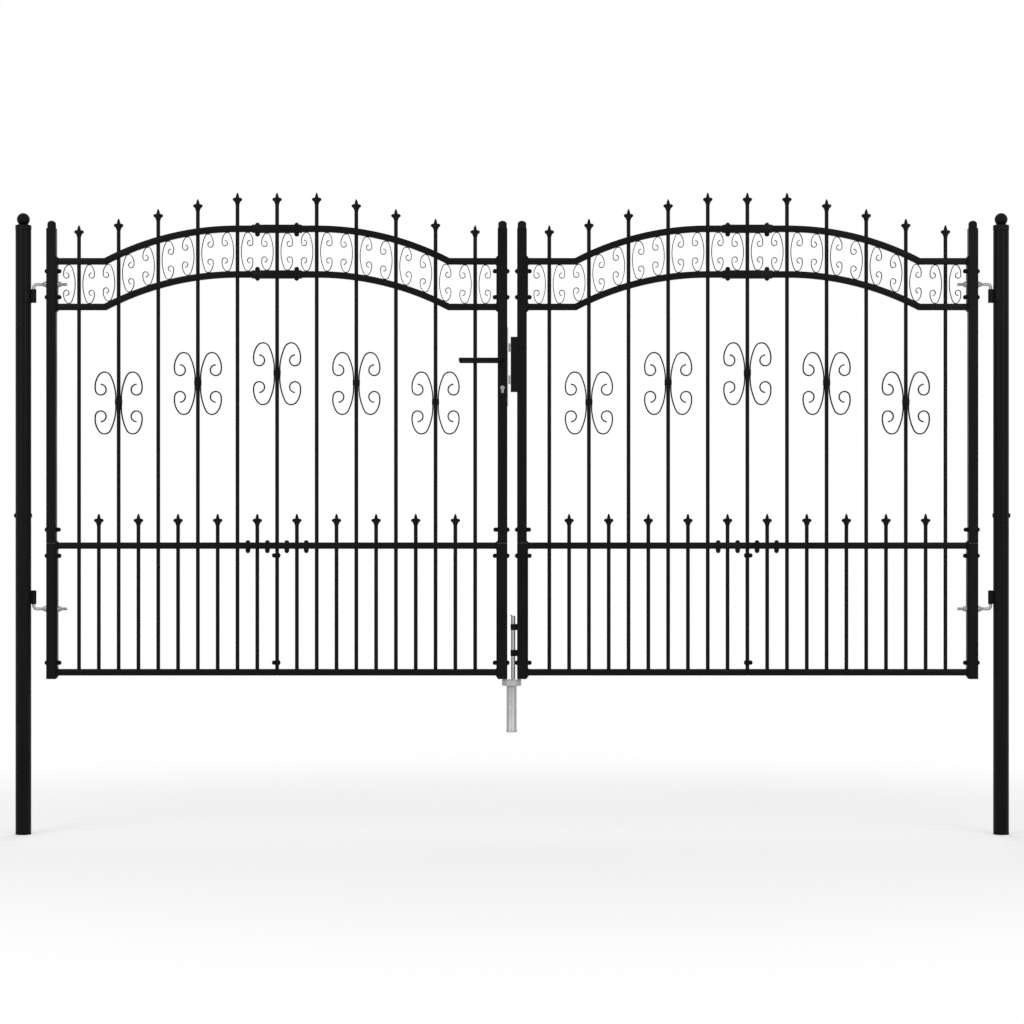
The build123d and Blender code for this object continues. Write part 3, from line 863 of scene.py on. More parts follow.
@dataclass(frozen=True)
class Posts:
    """The two ground posts with their caps, hinge eyes, splice bolts and the ground socket."""

    radius: float = 24.15
    sides: int = 64
    foot: float = 3.0
    seam: float = 961.0
    seam_edge: float = 0.7
    top: float = 1861.0
    lip: float = 24.75
    collar_height: float = 19.5
    ball_radius: float = 20.0
    ball_rise: float = 35.7
    ball_rings: int = 22
    neck_radius: float = 12.6
    eye_radius: float = 8.0
    eye_bore: float = 5.3
    eye_height: float = 42.0
    eye_from_rod: float = 14.8
    saddle_inner: float = 24.3
    saddle_outer: float = 27.15
    saddle_edge: float = 0.7
    saddle_turn: float = math.radians(86.0)
    bead_radius: float = 2.4
    bead_sunk: float = 0.4
    bead_y: float = 6.6
    bead_inset: float = 1.5
    splice_level: float = 983.5
    splice_head: Outline = (
        (8.2, 0.0), (8.0, 1.2), (6.6, 3.4), (4.0, 5.2), (1.4, 6.2), (0.0, 6.3),
    )
    splice_nut: Outline = ((7.6, 0.0), (7.6, 1.8), (6.8, 2.6))
    splice_sunk: Pair = (0.8, 0.6)
    socket_x: float = MID_X - 2.0
    socket_span: Pair = (315.5, 477.5)
    socket_foot: Outline = (
        (13.1, 0.5), (13.6, 0.0), (16.1, 0.0), (16.5, 0.6), (16.5, 7.0), (15.5, 9.0),
    )
    socket_collar: Outline = (
        (15.5, -21.5), (17.0, -19.6), (28.6, -18.6), (30.0, -17.2),
        (30.0, -1.6), (28.6, 0.0), (14.3, 0.0), (13.1, -1.2),
    )

    def make(self) -> None:
        """Makes every piece that stands still."""
        self.tubes()
        self.foot_plugs()
        self.ball_caps()
        self.eyes()
        self.splice_bolts()
        self.ground_socket()

    def tubes(self) -> None:
        """Makes the posts' tubes, each in two lengths with a fine seam between them."""
        nodes = ("post_lower_tubes", "post_upper_tubes")
        work = Workpiece("post_tubes", Body.POSTS, POWDER_COAT, nodes)
        for low, high in ((self.foot, self.seam), (self.seam, self.top)):
            length = rod(self.radius, high - low, self.seam_edge, self.sides)
            work.take(length, on_both(shifted(z=low)))
        work.hang()

    def foot_plugs(self) -> None:
        """Makes the plugs that close the posts' feet."""
        work = Workpiece("post_foot_plugs", Body.POSTS, POWDER_COAT, ("post_foot_caps",))
        lip, high = self.lip, self.foot
        profile = ((lip - 0.9, 0.0), (lip, 0.9), (lip, high - 0.5), (self.radius, high))
        work.take(turned(profile, self.sides), on_both(Matrix()))
        work.hang()

    def ball_caps(self) -> None:
        """Makes the caps: a collar with a rounded shoulder, a narrow neck and a ball."""
        work = Workpiece("ball_caps", Body.POSTS, POWDER_COAT, ("post_ball_caps",))
        sunk, lip, high = self.radius - 0.5, self.lip, self.collar_height
        collar = [(sunk, 0.0), (sunk, 1.4), (lip, 2.2), (lip, high - 3.4), (lip - 0.5, high - 2.0)]
        shoulder = [(lip - 2.6, high - 0.8), (self.neck_radius + 2.4, high + 0.9)]
        start = math.pi - math.asin(self.neck_radius / self.ball_radius)
        turns = [start * (1.0 - i / self.ball_rings) for i in range(self.ball_rings)]
        ball = [
            (self.ball_radius * math.sin(t), self.ball_rise + self.ball_radius * math.cos(t))
            for t in turns
        ]
        crown = [(0.0, self.ball_rise + self.ball_radius)]
        work.take(turned(collar + shoulder + ball + crown, sides=56), on_both(shifted(z=self.top)))
        work.hang()

    def eyes(self) -> None:
        """Makes the saddles welded round the posts with the eyes that carry the hooks."""
        work = Workpiece("hinge_eyes", Body.POSTS, POWDER_COAT, ("hinge_brackets",))
        for level, way in HOOK_LEVELS:
            near = level - way * self.eye_from_rod
            low = min(near, near - way * self.eye_height)
            eye = tube(self.eye_radius, self.eye_bore, self.eye_height)
            work.take(eye, on_both(shifted(x=HOOK_X, z=low)))
            work.take(self.saddle(), on_both(shifted(z=low)))
            length = self.eye_height - 2 * self.bead_inset
            for y in (-self.bead_y, self.bead_y):
                bead = rod(self.bead_radius, length, edge=1.2, sides=12)
                x = self.saddle_outer - self.bead_sunk
                work.take(bead, on_both(shifted(x, y, low + self.bead_inset)))
        work.hang()

    def saddle(self) -> BMesh:
        """Makes the curved strap that is welded to the post.

        Returns:
            The strap, with its foot at the origin's height.
        """
        part = bmesh.new()
        outer, edge, half = self.saddle_outer, self.saddle_edge, self.saddle_turn
        low = ((self.saddle_inner, 0.0), (outer - edge, 0.0), (outer, edge))
        section = both_ends(low, self.eye_height)
        corners = [part.verts.new((radius, 0.0, height)) for radius, height in section]
        face = bmesh.ops.contextual_create(part, geom=corners)["faces"][0]
        start = Matrix.Rotation(-half, 3, "Z")
        bmesh.ops.rotate(part, cent=ORIGIN, matrix=start, verts=corners)
        sweep(part, [face], ORIGIN, Z_AXIS, 2 * half, steps=28)
        return outward(part)

    def splice_bolts(self) -> None:
        """Makes the bolts that tie each post's two lengths."""
        work = Workpiece("post_splice_bolts", Body.POSTS, POWDER_COAT)
        level, (head_sunk, nut_sunk) = self.splice_level, self.splice_sunk
        head_place = aimed((head_sunk - self.radius, 0.0, level), -X_AXIS)
        work.take(turned(self.splice_head, sides=24), on_both(head_place))
        nut_place = aimed((self.radius - nut_sunk, 0.0, level), X_AXIS)
        work.take(turned(self.splice_nut, sides=6), on_both(nut_place))
        work.hang()

    def ground_socket(self) -> None:
        """Makes the tube that takes the drop bolt, with its collar."""
        work = Workpiece("socket_tube", Body.POSTS, ZINC_PLATE, ("ground_socket",))
        low, high = self.socket_span
        profile = [(radius, low + z) for radius, z in self.socket_foot]
        profile += [(radius, high + z) for radius, z in self.socket_collar]
        work.take(turned(profile, sides=48, ring=True), [shifted(x=self.socket_x)])
        work.hang()


# Scrolls


@dataclass(frozen=True)
class Scroll:
    """A C-scroll of flat strip: four arcs up, and their mirror image down.

    Places are measured from the bar it stands beside and from its own middle.
    """

    spine_x: float
    straight: float
    crest: Pair
    crest_radius: float
    side: Pair
    curl_x: float
    curl_radius: float
    strip_half: float
    depth_half: float = 4.0
    strip_edge: float = 0.6
    step: float = math.radians(9.0)
    longest: float = 5.0

    def arcs(self) -> list[tuple[Pair, float, float, float]]:
        """Works out the four arcs of the upper half, which meet without a corner.

        Returns:
            Centre, radius, start angle and end angle of each, in radians.
        """
        crest_x, crest_z = self.crest
        side_x, side_z = self.side
        low_z = crest_z - self.crest_radius
        run, rise = crest_x - self.spine_x, low_z - self.straight
        spine_radius = (run**2 + rise**2 - self.crest_radius**2) / (2 * (run - self.crest_radius))
        out, fall = side_x - crest_x, side_z - low_z
        side_radius = (out**2 + fall**2 - self.crest_radius**2) / (2 * (out - self.crest_radius))
        spine_at = (self.spine_x + spine_radius, self.straight)
        crest_at = (crest_x, low_z)
        side_at = (side_x - side_radius, side_z)
        reach = math.sqrt((side_radius - self.curl_radius) ** 2 - (self.curl_x - side_at[0]) ** 2)
        curl_at = (self.curl_x, side_z - reach)
        first = bearing(spine_at, crest_at)
        second = bearing(side_at, crest_at)
        third = bearing(side_at, curl_at)
        return [
            (spine_at, spine_radius, math.pi, first),
            (crest_at, self.crest_radius, first, second),
            (side_at, side_radius, second, third),
            (curl_at, self.curl_radius, third, -1.5 * math.pi),
        ]

    def top(self, x: float) -> float | None:
        """Finds the height of the outside of the crest above a place.

        Args:
            x: The place, from the bar.

        Returns:
            The height, or None where the crest isn't.
        """
        (centre_x, centre_z), radius = self.arcs()[1][:2]
        reach = radius + self.strip_half
        if abs(x - centre_x) >= reach:
            return None
        return centre_z + math.sqrt(reach**2 - (x - centre_x) ** 2)

    def make(self) -> BMesh:
        """Bends the strip along the arcs.

        Returns:
            The scroll, to the right of a bar at the origin.
        """
        part = bmesh.new()
        half, deep, edge = self.strip_half, self.depth_half, self.strip_edge
        near = ((half - edge, deep), (half, deep - edge))
        right = [*near, *((u, -v) for u, v in reversed(near))]
        corners = [part.verts.new((self.spine_x + u, v, 0.0)) for u, v in both_hands(right)]
        ring = [part.edges.new(pair) for pair in zip(corners, corners[1:] + corners[:1])]
        if self.straight:
            ring = draw_out(part, ring, (0.0, 0.0, self.straight))
        for middle, radius, start, end in self.arcs():
            angle = start - end
            steps = max(round(angle / self.step), round(radius * angle / self.longest))
            ring = turn_out(part, ring, middle, angle, steps)
        bmesh.ops.contextual_create(part, geom=ring)
        everything = part.verts[:] + part.edges[:] + part.faces[:]
        bmesh.ops.mirror(part, geom=everything, matrix=Matrix(), merge_dist=NEAR, axis="Z")
        return outward(part)


# Leaves


@dataclass(frozen=True)
class Arch:
    """The line of the arched rails, from the leaf's middle: level, an arc, and a level end."""

    rise: float = 100.3
    flat_half: float = 122.2
    run: float = 407.65
    rail_end: float = 676.35
    sleeve_reach: float = 77.0
    cuts: int = 22

    @property
    def radius(self) -> float:
        """The radius of the rails' middle line."""
        return (self.run**2 + self.rise**2) / (2 * self.rise)

    def kink(self, shift: float) -> float:
        """Where the line moved up by shift turns from its arc to its level end."""
        drop = self.rise - self.radius - shift
        return self.flat_half + math.sqrt((self.radius + shift) ** 2 - drop**2)

    def height(self, shift: float, x: float) -> float:
        """Finds the height of a line of the rail above the rail's end line.

        Args:
            shift: How far the line is above the rail's middle line.
            x: The place from the leaf's middle.

        Returns:
            The height.
        """
        if abs(x) >= self.kink(shift):
            return shift
        if abs(x) <= self.flat_half:
            return self.rise + shift
        out = abs(x) - self.flat_half
        return self.rise - self.radius + math.sqrt((self.radius + shift) ** 2 - out**2)

    def stations(self) -> list[float]:
        """The places at which a straight rail is cut so that it can bend."""
        length = self.kink(0.0) - self.flat_half
        return [self.flat_half + length * i / self.cuts for i in range(self.cuts + 1)]

    def bend(self, part: BMesh) -> None:
        """Bends a straight rail that lies along x on the leaf's middle line.

        Args:
            part: The rail, cut at the stations.
        """
        kink = self.kink(0.0)
        for vert in part.verts:
            x, shift = vert.co.x, vert.co.z
            own = self.kink(shift)
            if abs(x) > kink:
                share = (abs(x) - kink) / (self.rail_end - kink)
                place = own + share * (self.rail_end - own)
            elif abs(x) > self.flat_half:
                share = (abs(x) - self.flat_half) / (kink - self.flat_half)
                place = self.flat_half + share * (own - self.flat_half)
            else:
                place = abs(x)
            vert.co.x = math.copysign(place, x)
            vert.co.z = self.height(shift, place)


@dataclass(frozen=True)
class Leaf:
    """One leaf: stiles, plates, rails, bars with finials, scrolls and hinge hooks."""

    side: Side
    arch: Arch = Arch()
    middle_x: float = 782.65
    stile_top: float = 1866.0
    flange_height: float = 2.6
    dome: Outline = (
        (0.0, 1.6), (14.6, 1.6), (14.5, 3.0), (13.8, 4.6), (13.5, 6.0), (13.3, 17.5), (12.7, 20.4),
        (11.0, 23.0), (7.6, 25.3), (3.9, 26.8), (1.3, 27.4), (0.0, 27.5),
    )
    foot_span: Pair = (-3.2, 0.2)
    foot_edge: float = 2.6
    plate_thick: float = 4.0
    plate_corner: Pair = (3.0, 4.5)
    plate_spans: Sequence[Pair] = ((STILE_FOOT, 906.3), (1611.1, 1784.0))
    rail_half: float = 10.0
    rail_corner: float = 2.2
    rail_split: float = 0.2
    bottom_rail_z: float = 500.0
    mid_rail_z: float = 890.6
    arch_levels: Pair = (1626.7, 1767.4)
    weld_radius: float = 1.9
    weld_sunk: float = 0.4
    sleeve_slope: float = 0.8
    sleeve_taper: float = 0.97
    bar_radius: float = 6.0
    bar_pitch: float = 122.2
    bar_count: int = 11
    bar_sunk: float = 0.5
    bar_in_finial: float = 1.0
    tip_top: float = 1979.8
    short_tip: float = 989.7
    tip_steps: Sequence[float] = (0.0, 0.0, 0.2, 0.5, 0.8, 1.0)
    finial_height: float = 38.0
    finial_depth: float = 10.0
    finial_side: Outline = (
        (1.6, -1.8), (3.4, -6.0), (4.7, -10.4), (5.0, -13.8), (6.2, -15.8), (9.4, -16.0),
        (12.6, -17.2), (14.5, -19.6), (14.8, -22.2), (13.6, -24.6), (11.0, -26.2), (9.0, -28.6),
        (7.5, -32.0), (6.4, -35.4), (6.0, -38.0),
    )
    scroll_levels: Sequence[float] = (1420.9, 1390.7, 1330.6)
    collar_low: Point = (-11.1, -6.9, -6.0)
    collar_high: Point = (11.1, 6.9, 12.0)
    bolt_levels: Sequence[float] = (1737.1, 1656.9, 859.3, 529.3)
    bare_bolt_level: float = 939.9
    sleeve_bolt_x: float = 60.5
    rail_bolt_x: Sequence[float] = (-90.0, -30.0, 30.0, 90.0)
    bar_bolt_levels: Pair = (860.2, 529.7)
    bolt: DomeBolt = DomeBolt()
    long_bolt: DomeBolt = DomeBolt(nut_height=8.0, nut_dome_rise=5.8)
    bar_bolt: DomeBolt = DomeBolt(head_rise=4.8, nut_height=6.0)
    hook: Hook = Hook()
    large_scroll: Scroll = Scroll(
        strip_half=2.0,
        spine_x=8.3,
        straight=12.0,
        crest=(43.5, 95.3),
        crest_radius=21.0,
        side=(72.5, 49.7),
        curl_x=55.2,
        curl_radius=16.5,
    )
    small_scroll: Scroll = Scroll(
        strip_half=1.1,
        spine_x=11.9,
        straight=0.0,
        crest=(31.7, 58.5),
        crest_radius=10.0,
        side=(47.6, 30.9),
        curl_x=39.0,
        curl_radius=8.2,
        step=math.radians(12.0),
    )
    small_crest_span: float = 11.4
    small_fits: int = 5

    def work(self, name: str, finish: Finish = POWDER_COAT, *nodes: str) -> Workpiece:
        """Starts a piece of this leaf.

        Args:
            name: The piece's name without the side.
            finish: Its finish.
            *nodes: The nodes that it stands for, without the side.

        Returns:
            The piece.
        """
        side = self.side.value
        replaced = tuple(f"{side}_{node}" for node in nodes)
        return Workpiece(f"{side}_{name}", self.side.body, finish, replaced)

    def spot(self, x: float, z: float = 0.0) -> Matrix:
        """A place in the leaf's plane, its x from the leaf's middle."""
        return shifted(x=self.middle_x + x, z=z)

    def on_stiles(self, z: float) -> list[Matrix]:
        """The places on both stiles at a height."""
        return [shifted(x=x, z=z) for x in (HINGE_STILE_X, MEETING_STILE_X)]

    def long_places(self) -> list[float]:
        """The long bars' places from the leaf's middle."""
        half = (self.bar_count - 1) / 2
        return [(i - half) * self.bar_pitch for i in range(self.bar_count)]

    def short_places(self) -> list[float]:
        """The short bars' places, midway between the long ones."""
        return [x + self.bar_pitch / 2 for x in self.long_places()[:-1]]

    def make(self) -> None:
        """Makes every piece of the leaf."""
        for node in ("hinge_stile", "meeting_stile"):
            dress_node(f"{self.side.value}_{node}", POWDER_COAT)
        self.end_plates()
        self.stile_caps()
        self.stile_feet()
        self.straight_rails()
        self.welds()
        self.arched_rails()
        self.sleeves()
        self.bars()
        self.panel_scrolls()
        self.band_scrolls()
        self.collars()
        self.hooks()
        self.bolts()

    def end_plates(self) -> None:
        """Makes the flat bars on the stiles that the rails are welded to."""
        work = self.work("end_plates", POWDER_COAT, "hinge_end_plates", "meeting_end_plates")
        thick, (along, up) = self.plate_thick, self.plate_corner
        for stile_x, way in ((HINGE_STILE_X, 1.0), (MEETING_STILE_X, -1.0)):
            face = stile_x + way * STILE_HALF
            for low, high in self.plate_spans:
                end = ((0.0, low), (thick - along, low), (thick, low + up))
                outline = [(face + way * u, z) for u, z in both_ends(end, low + high)]
                work.take(cut_plate(outline, 2 * STILE_HALF, edge=0.6))
        work.hang(self.side)

    def stile_caps(self) -> None:
        """Makes the stiles' caps: a square flange, a short neck and a slightly pointed dome."""
        work = self.work("dome_caps", POWDER_COAT, "stile_caps")
        half, places = STILE_HALF, self.on_stiles(self.stile_top)
        work.take(block((-half, -half, 0.0), (half, half, self.flange_height), edge=0.9), places)
        work.take(turned(self.dome, sides=44), places)
        work.hang(self.side)

    def stile_feet(self) -> None:
        """Makes the plugs that close the stiles' feet, with rounded lower edges."""
        work = self.work("stile_foot_plugs", LEVER_COAT)
        half, (low, high) = STILE_HALF, self.foot_span
        plug = block((-half, -half, low), (half, half, high))
        lower = [e for e in plug.edges if all(v.co.z < 0 for v in e.verts)]
        soften(plug, lower, self.foot_edge, steps=3)
        work.take(plug, self.on_stiles(STILE_FOOT))
        work.hang(self.side)

    def half_rail(self) -> BMesh:
        """Makes the left half of a straight rail, up to the joint in its middle.

        Returns:
            The half.
        """
        half, end = self.rail_half, self.arch.rail_end
        low, high = (-end, -half, -half), (-self.rail_split, half, half)
        return block(low, high, self.rail_corner, steps=3)

    def straight_rails(self) -> None:
        """Makes the middle and bottom rails, each in two halves."""
        work = self.work("straight_rails", POWDER_COAT, "mid_rail", "bottom_rail")
        for level in (self.mid_rail_z, self.bottom_rail_z):
            place = self.spot(0.0, level)
            work.take(self.half_rail(), [place, place @ FLIP_X])
        work.hang(self.side)

    def welds(self) -> None:
        """Makes the weld beads where the rails meet their end plates."""
        work = self.work("rail_welds")
        half = self.rail_half
        levels = (self.bottom_rail_z, self.mid_rail_z, *self.arch_levels)
        for hand in (-1.0, 1.0):
            x = self.middle_x + hand * (self.arch.rail_end - self.weld_sunk)
            for level in levels:
                for way in (-half, half):
                    places = (aimed((x, -half, level + way), Y_AXIS), shifted(x, way, level - half))
                    for place in places:
                        work.take(rod(self.weld_radius, 2 * half, edge=0.9, sides=10), [place])
        work.hang(self.side)

    def arched_rails(self) -> None:
        """Makes both arched rails, each in two halves."""
        work = self.work("arched_rails", POWDER_COAT, "upper_arch_rail", "lower_arch_rail")
        rail = self.half_rail()
        for station in self.arch.stations():
            cut_across(rail, (-station, 0.0, 0.0), X_AXIS)
        self.arch.bend(rail)
        places = [self.spot(0.0, level) for level in self.arch_levels]
        work.take(rail, places + [place @ FLIP_X for place in places])
        work.hang(self.side)

    def sleeves(self) -> None:
        """Makes the square sleeves over the arched rails' joints, with sloped ends."""
        work = self.work("rail_sleeves", POWDER_COAT, "arch_sleeves")
        half, reach = SLEEVE_HALF, self.arch.sleeve_reach
        sleeve = block((-reach, -half, -half), (reach, half, half), self.rail_corner, steps=3)
        for vert in sleeve.verts:
            if abs(vert.co.x) > reach - 0.1:
                vert.co.x = math.copysign(reach + self.sleeve_slope, vert.co.x)
                vert.co.y *= self.sleeve_taper
                vert.co.z *= self.sleeve_taper
        work.take(sleeve, [self.spot(0.0, level + self.arch.rise) for level in self.arch_levels])
        work.hang(self.side)

    def finial(self) -> BMesh:
        """A cast finial: a spear point over two rounded arms, with its tip at the origin."""
        outline = [(0.0, 0.0)] + both_hands(self.finial_side)
        return cut_plate(outline, self.finial_depth, edge=2.4, steps=3)

    def bars(self) -> None:
        """Makes the long and short round bars with their finials."""
        foot = self.bottom_rail_z + self.rail_half - self.bar_sunk
        half = (self.bar_count - 1) / 2
        steps = [self.tip_steps[round(abs(i - half))] for i in range(self.bar_count)]
        tips = [self.tip_top - self.arch.rise * step for step in steps]
        short_tips = [self.short_tip] * (self.bar_count - 1)
        for name, node, places, heights in (
            ("long_round_bars", "long_bars", self.long_places(), tips),
            ("short_round_bars", "short_bars", self.short_places(), short_tips),
        ):
            work = self.work(name, POWDER_COAT, node)
            for x, tip in zip(places, heights):
                length = tip - self.finial_height + self.bar_in_finial - foot
                work.take(rod(self.bar_radius, length, edge=0.3, sides=20), [self.spot(x, foot)])
            work.take(self.finial(), [self.spot(x, tip) for x, tip in zip(places, heights)])
            work.hang(self.side)

    def scroll_places(self) -> list[Matrix]:
        """Finds the places of the pairs of large scrolls, which step up to the middle.

        Returns:
            The places.
        """
        places = []
        for index in range(1, self.bar_count, 2):
            step = abs(index - (self.bar_count - 1) // 2) // 2
            places.append(self.spot(self.long_places()[index], self.scroll_levels[step]))
        return places

    def panel_scrolls(self) -> None:
        """Makes the pairs of large scrolls on every second long bar."""
        work = self.work("large_scrolls", POWDER_COAT, "panel_scrolls")
        right = self.scroll_places()
        work.take(self.large_scroll.make(), right + [place @ FLIP_X for place in right])
        work.hang(self.side)

    def band_edge(self, above: bool, x: float) -> float:
        """Finds the height of an edge of the band between the arched rails.

        Args:
            above: Whether it is the upper rail's underside, or the lower rail's top.
            x: The place from the leaf's middle.

        Returns:
            The height.
        """
        half = SLEEVE_HALF if abs(x) < self.arch.sleeve_reach else self.rail_half
        return self.arch_levels[above] + self.arch.height(-half if above else half, x)

    def band_scroll(self, bar_x: float, hand: float) -> tuple[Scroll, Matrix]:
        """Fits a small scroll between the arched rails beside its bar.

        Args:
            bar_x: The bar's place from the leaf's middle.
            hand: 1 for one to the bar's right, -1 for one to its left.

        Returns:
            The scroll and its place.
        """
        crest_x, crest_z = self.small_scroll.crest
        side_x, side_z = self.small_scroll.side
        fall = crest_z - side_z
        across = [crest_x + self.small_crest_span * i / 12 for i in range(-12, 13)]
        for _ in range(self.small_fits):
            crest, side = (crest_x, crest_z), (side_x, crest_z - fall)
            scroll = replace(self.small_scroll, crest=crest, side=side)
            tops = [(bar_x + hand * x, scroll.top(x)) for x in across]
            high = min(self.band_edge(True, x) - top for x, top in tops if top is not None)
            low = max(self.band_edge(False, x) + top for x, top in tops if top is not None)
            crest_z += (high - low) / 2
        place = self.spot(bar_x, (high + low) / 2)
        return scroll, place if hand > 0 else place @ FLIP_X

    def band_scrolls(self) -> None:
        """Makes the small scrolls on both sides of every long bar."""
        work = self.work("small_scrolls", POWDER_COAT, "band_scrolls")
        for bar_x in self.long_places():
            for hand in (-1.0, 1.0):
                scroll, place = self.band_scroll(bar_x, hand)
                work.take(scroll.make(), [place])
        work.hang(self.side)

    def collars(self) -> None:
        """Makes the collars that tie the large scrolls to their bars."""
        work = self.work("collars", POWDER_COAT, "scroll_collars")
        work.take(block(self.collar_low, self.collar_high, edge=1.6, steps=3), self.scroll_places())
        work.hang(self.side)

    def hooks(self) -> None:
        """Makes the hinge hooks with their threads, nuts and washers."""
        work = self.work("hook_rods", ZINC_PLATE, "hinge_hooks")
        faces = (HINGE_STILE_X - STILE_HALF, HINGE_STILE_X + STILE_HALF + self.plate_thick)
        for level, way in HOOK_LEVELS:
            self.hook.fit(work, level, way, faces)
        work.hang(self.side)

    def bolts(self) -> None:
        """Makes the bolts through the stiles, the sleeves, the middle rail and the middle bar."""
        work = self.work("frame_bolts")
        pairs, long_pairs = [], []
        for level in (*self.bolt_levels, self.bare_bolt_level):
            bare = level == self.bare_bolt_level
            inner = STILE_HALF if bare else STILE_HALF + self.plate_thick
            for x, way in ((HINGE_STILE_X, 1.0), (MEETING_STILE_X, -1.0)):
                ends = ((x - way * STILE_HALF, 0.0, level), (x + way * inner, 0.0, level))
                (long_pairs if bare else pairs).append(ends)
        for base, way in zip(self.arch_levels, (-SLEEVE_HALF, SLEEVE_HALF)):
            middle = base + self.arch.rise
            for x in (self.middle_x - self.sleeve_bolt_x, self.middle_x + self.sleeve_bolt_x):
                pairs.append(((x, 0.0, middle + way), (x, 0.0, middle - way)))
        self.bolt.fit(work, pairs)
        right, left = self.middle_x + self.bar_radius, self.middle_x - self.bar_radius
        self.bar_bolt.fit(work, [((right, 0.0, z), (left, 0.0, z)) for z in self.bar_bolt_levels])
        top, low = self.mid_rail_z + self.rail_half, self.mid_rail_z - self.rail_half
        places = [self.middle_x + x for x in self.rail_bolt_x]
        self.long_bolt.fit(work, long_pairs + [((x, 0.0, top), (x, 0.0, low)) for x in places])
        work.hang(self.side)


# Lock and drop bolt


@dataclass(frozen=True)
class Lock:
    """The lever lock on the left leaf and the keep on the right one."""

    lever_z: float = 1462.0
    lever_radius: float = 6.0
    lever_reach: float = 134.0
    lever_gap: float = 0.3
    lever_edge: float = 1.4
    standoff: float = 40.0
    bend: float = 14.0
    spindle: Vector = Vector((3.9, 16.0, 3.9)).freeze()
    rose: Point = (24.0, 46.0, 7.0)
    rose_screw: Outline = ((2.9, 0.0), (2.9, 0.4), (2.2, 1.0), (0.0, 1.2))
    rose_screw_z: float = 16.5
    cylinder_z: float = 1377.0
    cylinder_radius: float = 6.6
    cylinder_proud: float = 4.0
    leg_half: float = 4.0
    leg_drop: float = 13.0
    plug: Outline = ((4.9, 0.0), (4.9, 0.5), (4.5, 0.8))
    plug_sunk: float = 0.1
    keyway_half: float = 0.7
    # Size and drop of the painted shade plates: dark plates that stand in for the shadow in the gap
    # round the cylinder
    painted_shade_plate: Point = (22.0, 38.0, 2.0)
    painted_shade_plate_drop: float = 8.5
    latch_z: float = 1501.5
    deadbolt_z: float = 1402.3
    bolt_tip: float = 1502.3
    bolt_size: Point = (20.0, 12.0, 26.5)
    plate_face: float = 1495.9
    plate_screw: Outline = ((3.6, 0.0), (3.3, 0.5), (1.2, 0.6), (0.9, 0.3))
    plate_screw_levels: Sequence[float] = (1552.0, 1331.0)
    keep_screw: Outline = ((2.6, 0.0), (2.4, 0.8), (1.6, 1.5), (0.0, 1.8))
    keep_screw_place: Pair = (1526.6, -17.1)
    keep_screw_levels: Sequence[float] = (1521.0, 1449.2, 1377.4)

    def make(self) -> None:
        """Makes the lock's pieces."""
        dress_node("lock_body", BRUSHED_STEEL)
        dress_node("keep_box", POWDER_COAT)
        self.levers()
        self.roses()
        # Painted shade: dark plates round the key cylinder where its gap lies in shadow
        self.painted_shade_plates()
        self.cylinder()
        self.sliding_bolts()
        self.screws()

    def levers(self) -> None:
        """Makes both handles and the spindle between them."""
        work = Workpiece("round_levers", Body.LEVER, LEVER_COAT, ("lever_handles",))
        place = shifted(x=MEETING_STILE_X, z=self.lever_z)
        start = STILE_HALF + self.lever_gap
        rise = STILE_HALF + self.standoff - self.bend - start
        arm = self.lever_reach - self.bend
        handle = bent_rod(self.lever_radius, rise, self.bend, arm, self.lever_edge)
        outwards = Matrix(((-1, 0, 0, 0), (0, 0, -1, -start), (0, -1, 0, 0), (0, 0, 0, 1)))
        work.take(handle, [place @ outwards, place @ FLIP_Y @ outwards])
        work.take(block(-self.spindle, self.spindle, edge=0.4), [place])
        work.hang()

    def roses(self) -> None:
        """Makes the rounded plates behind the levers, each with two small screws."""
        work = Workpiece("rose_plates", Body.LEFT_LEAF, LEVER_COAT, ("lever_roses",))
        middle = shifted(x=MEETING_STILE_X, z=self.lever_z)
        offset = STILE_HALF + self.rose[2] / 2
        places = [middle @ shifted(y=y) for y in (-offset, offset)]
        work.take(round_ended(self.rose, edge=1.8), places)
        face = STILE_HALF + self.rose[2]
        screws = [
            aimed((MEETING_STILE_X, way * face, self.lever_z + z), way * Y_AXIS)
            for way in (-1.0, 1.0)
            for z in (-self.rose_screw_z, self.rose_screw_z)
        ]
        work.take(turned(self.rose_screw, sides=16), screws)
        work.hang()

    def painted_shade_plates(self) -> None:
        """Makes thin dark plates round the key cylinder, one on each face: painted shade where the
        gap round the cylinder lies in shadow.
        """
        work = Workpiece("cylinder_painted_shade_plates", Body.LEFT_LEAF, LEVER_COAT)
        middle = STILE_HALF + self.painted_shade_plate[2] / 2
        level = self.cylinder_z - self.painted_shade_plate_drop
        places = [shifted(MEETING_STILE_X, y, level) for y in (-middle, middle)]
        work.take(round_ended(self.painted_shade_plate, edge=0.6), places)
        work.hang()

    def cylinder(self) -> None:
        """Makes the key cylinder with a keyway on both faces."""
        work = Workpiece("keyed_cylinder", Body.LEFT_LEAF, NICKEL_PLATE, ("key_cylinder",))
        radius, leg = self.cylinder_radius, self.leg_half
        gap = math.asin(leg / radius)
        outline = arc_points((0.0, 0.0), radius, math.pi * 1.5 + gap, math.pi * 3.5 - gap, steps=24)
        outline += arc_points((0.0, -self.leg_drop), leg, math.pi, math.tau, steps=8)
        reach = STILE_HALF + self.cylinder_proud
        place = shifted(x=MEETING_STILE_X, z=self.cylinder_z)
        work.take(cut_plate(outline, 2 * reach, edge=0.5), [place])
        for way in (-1.0, 1.0):
            turn = Matrix.Rotation(-way * math.pi / 2, 4, "X")
            for hand in (-1.0, 1.0):
                plug = turned(self.plug, sides=32)
                cut_across(plug, (self.keyway_half * hand, 0.0, 0.0), -hand * X_AXIS, clear=True)
                bmesh.ops.holes_fill(plug, edges=plug.edges, sides=0)
                seat = shifted(MEETING_STILE_X, way * (reach - self.plug_sunk), self.cylinder_z)
                work.take(outward(plug), [seat @ turn])
        work.hang()

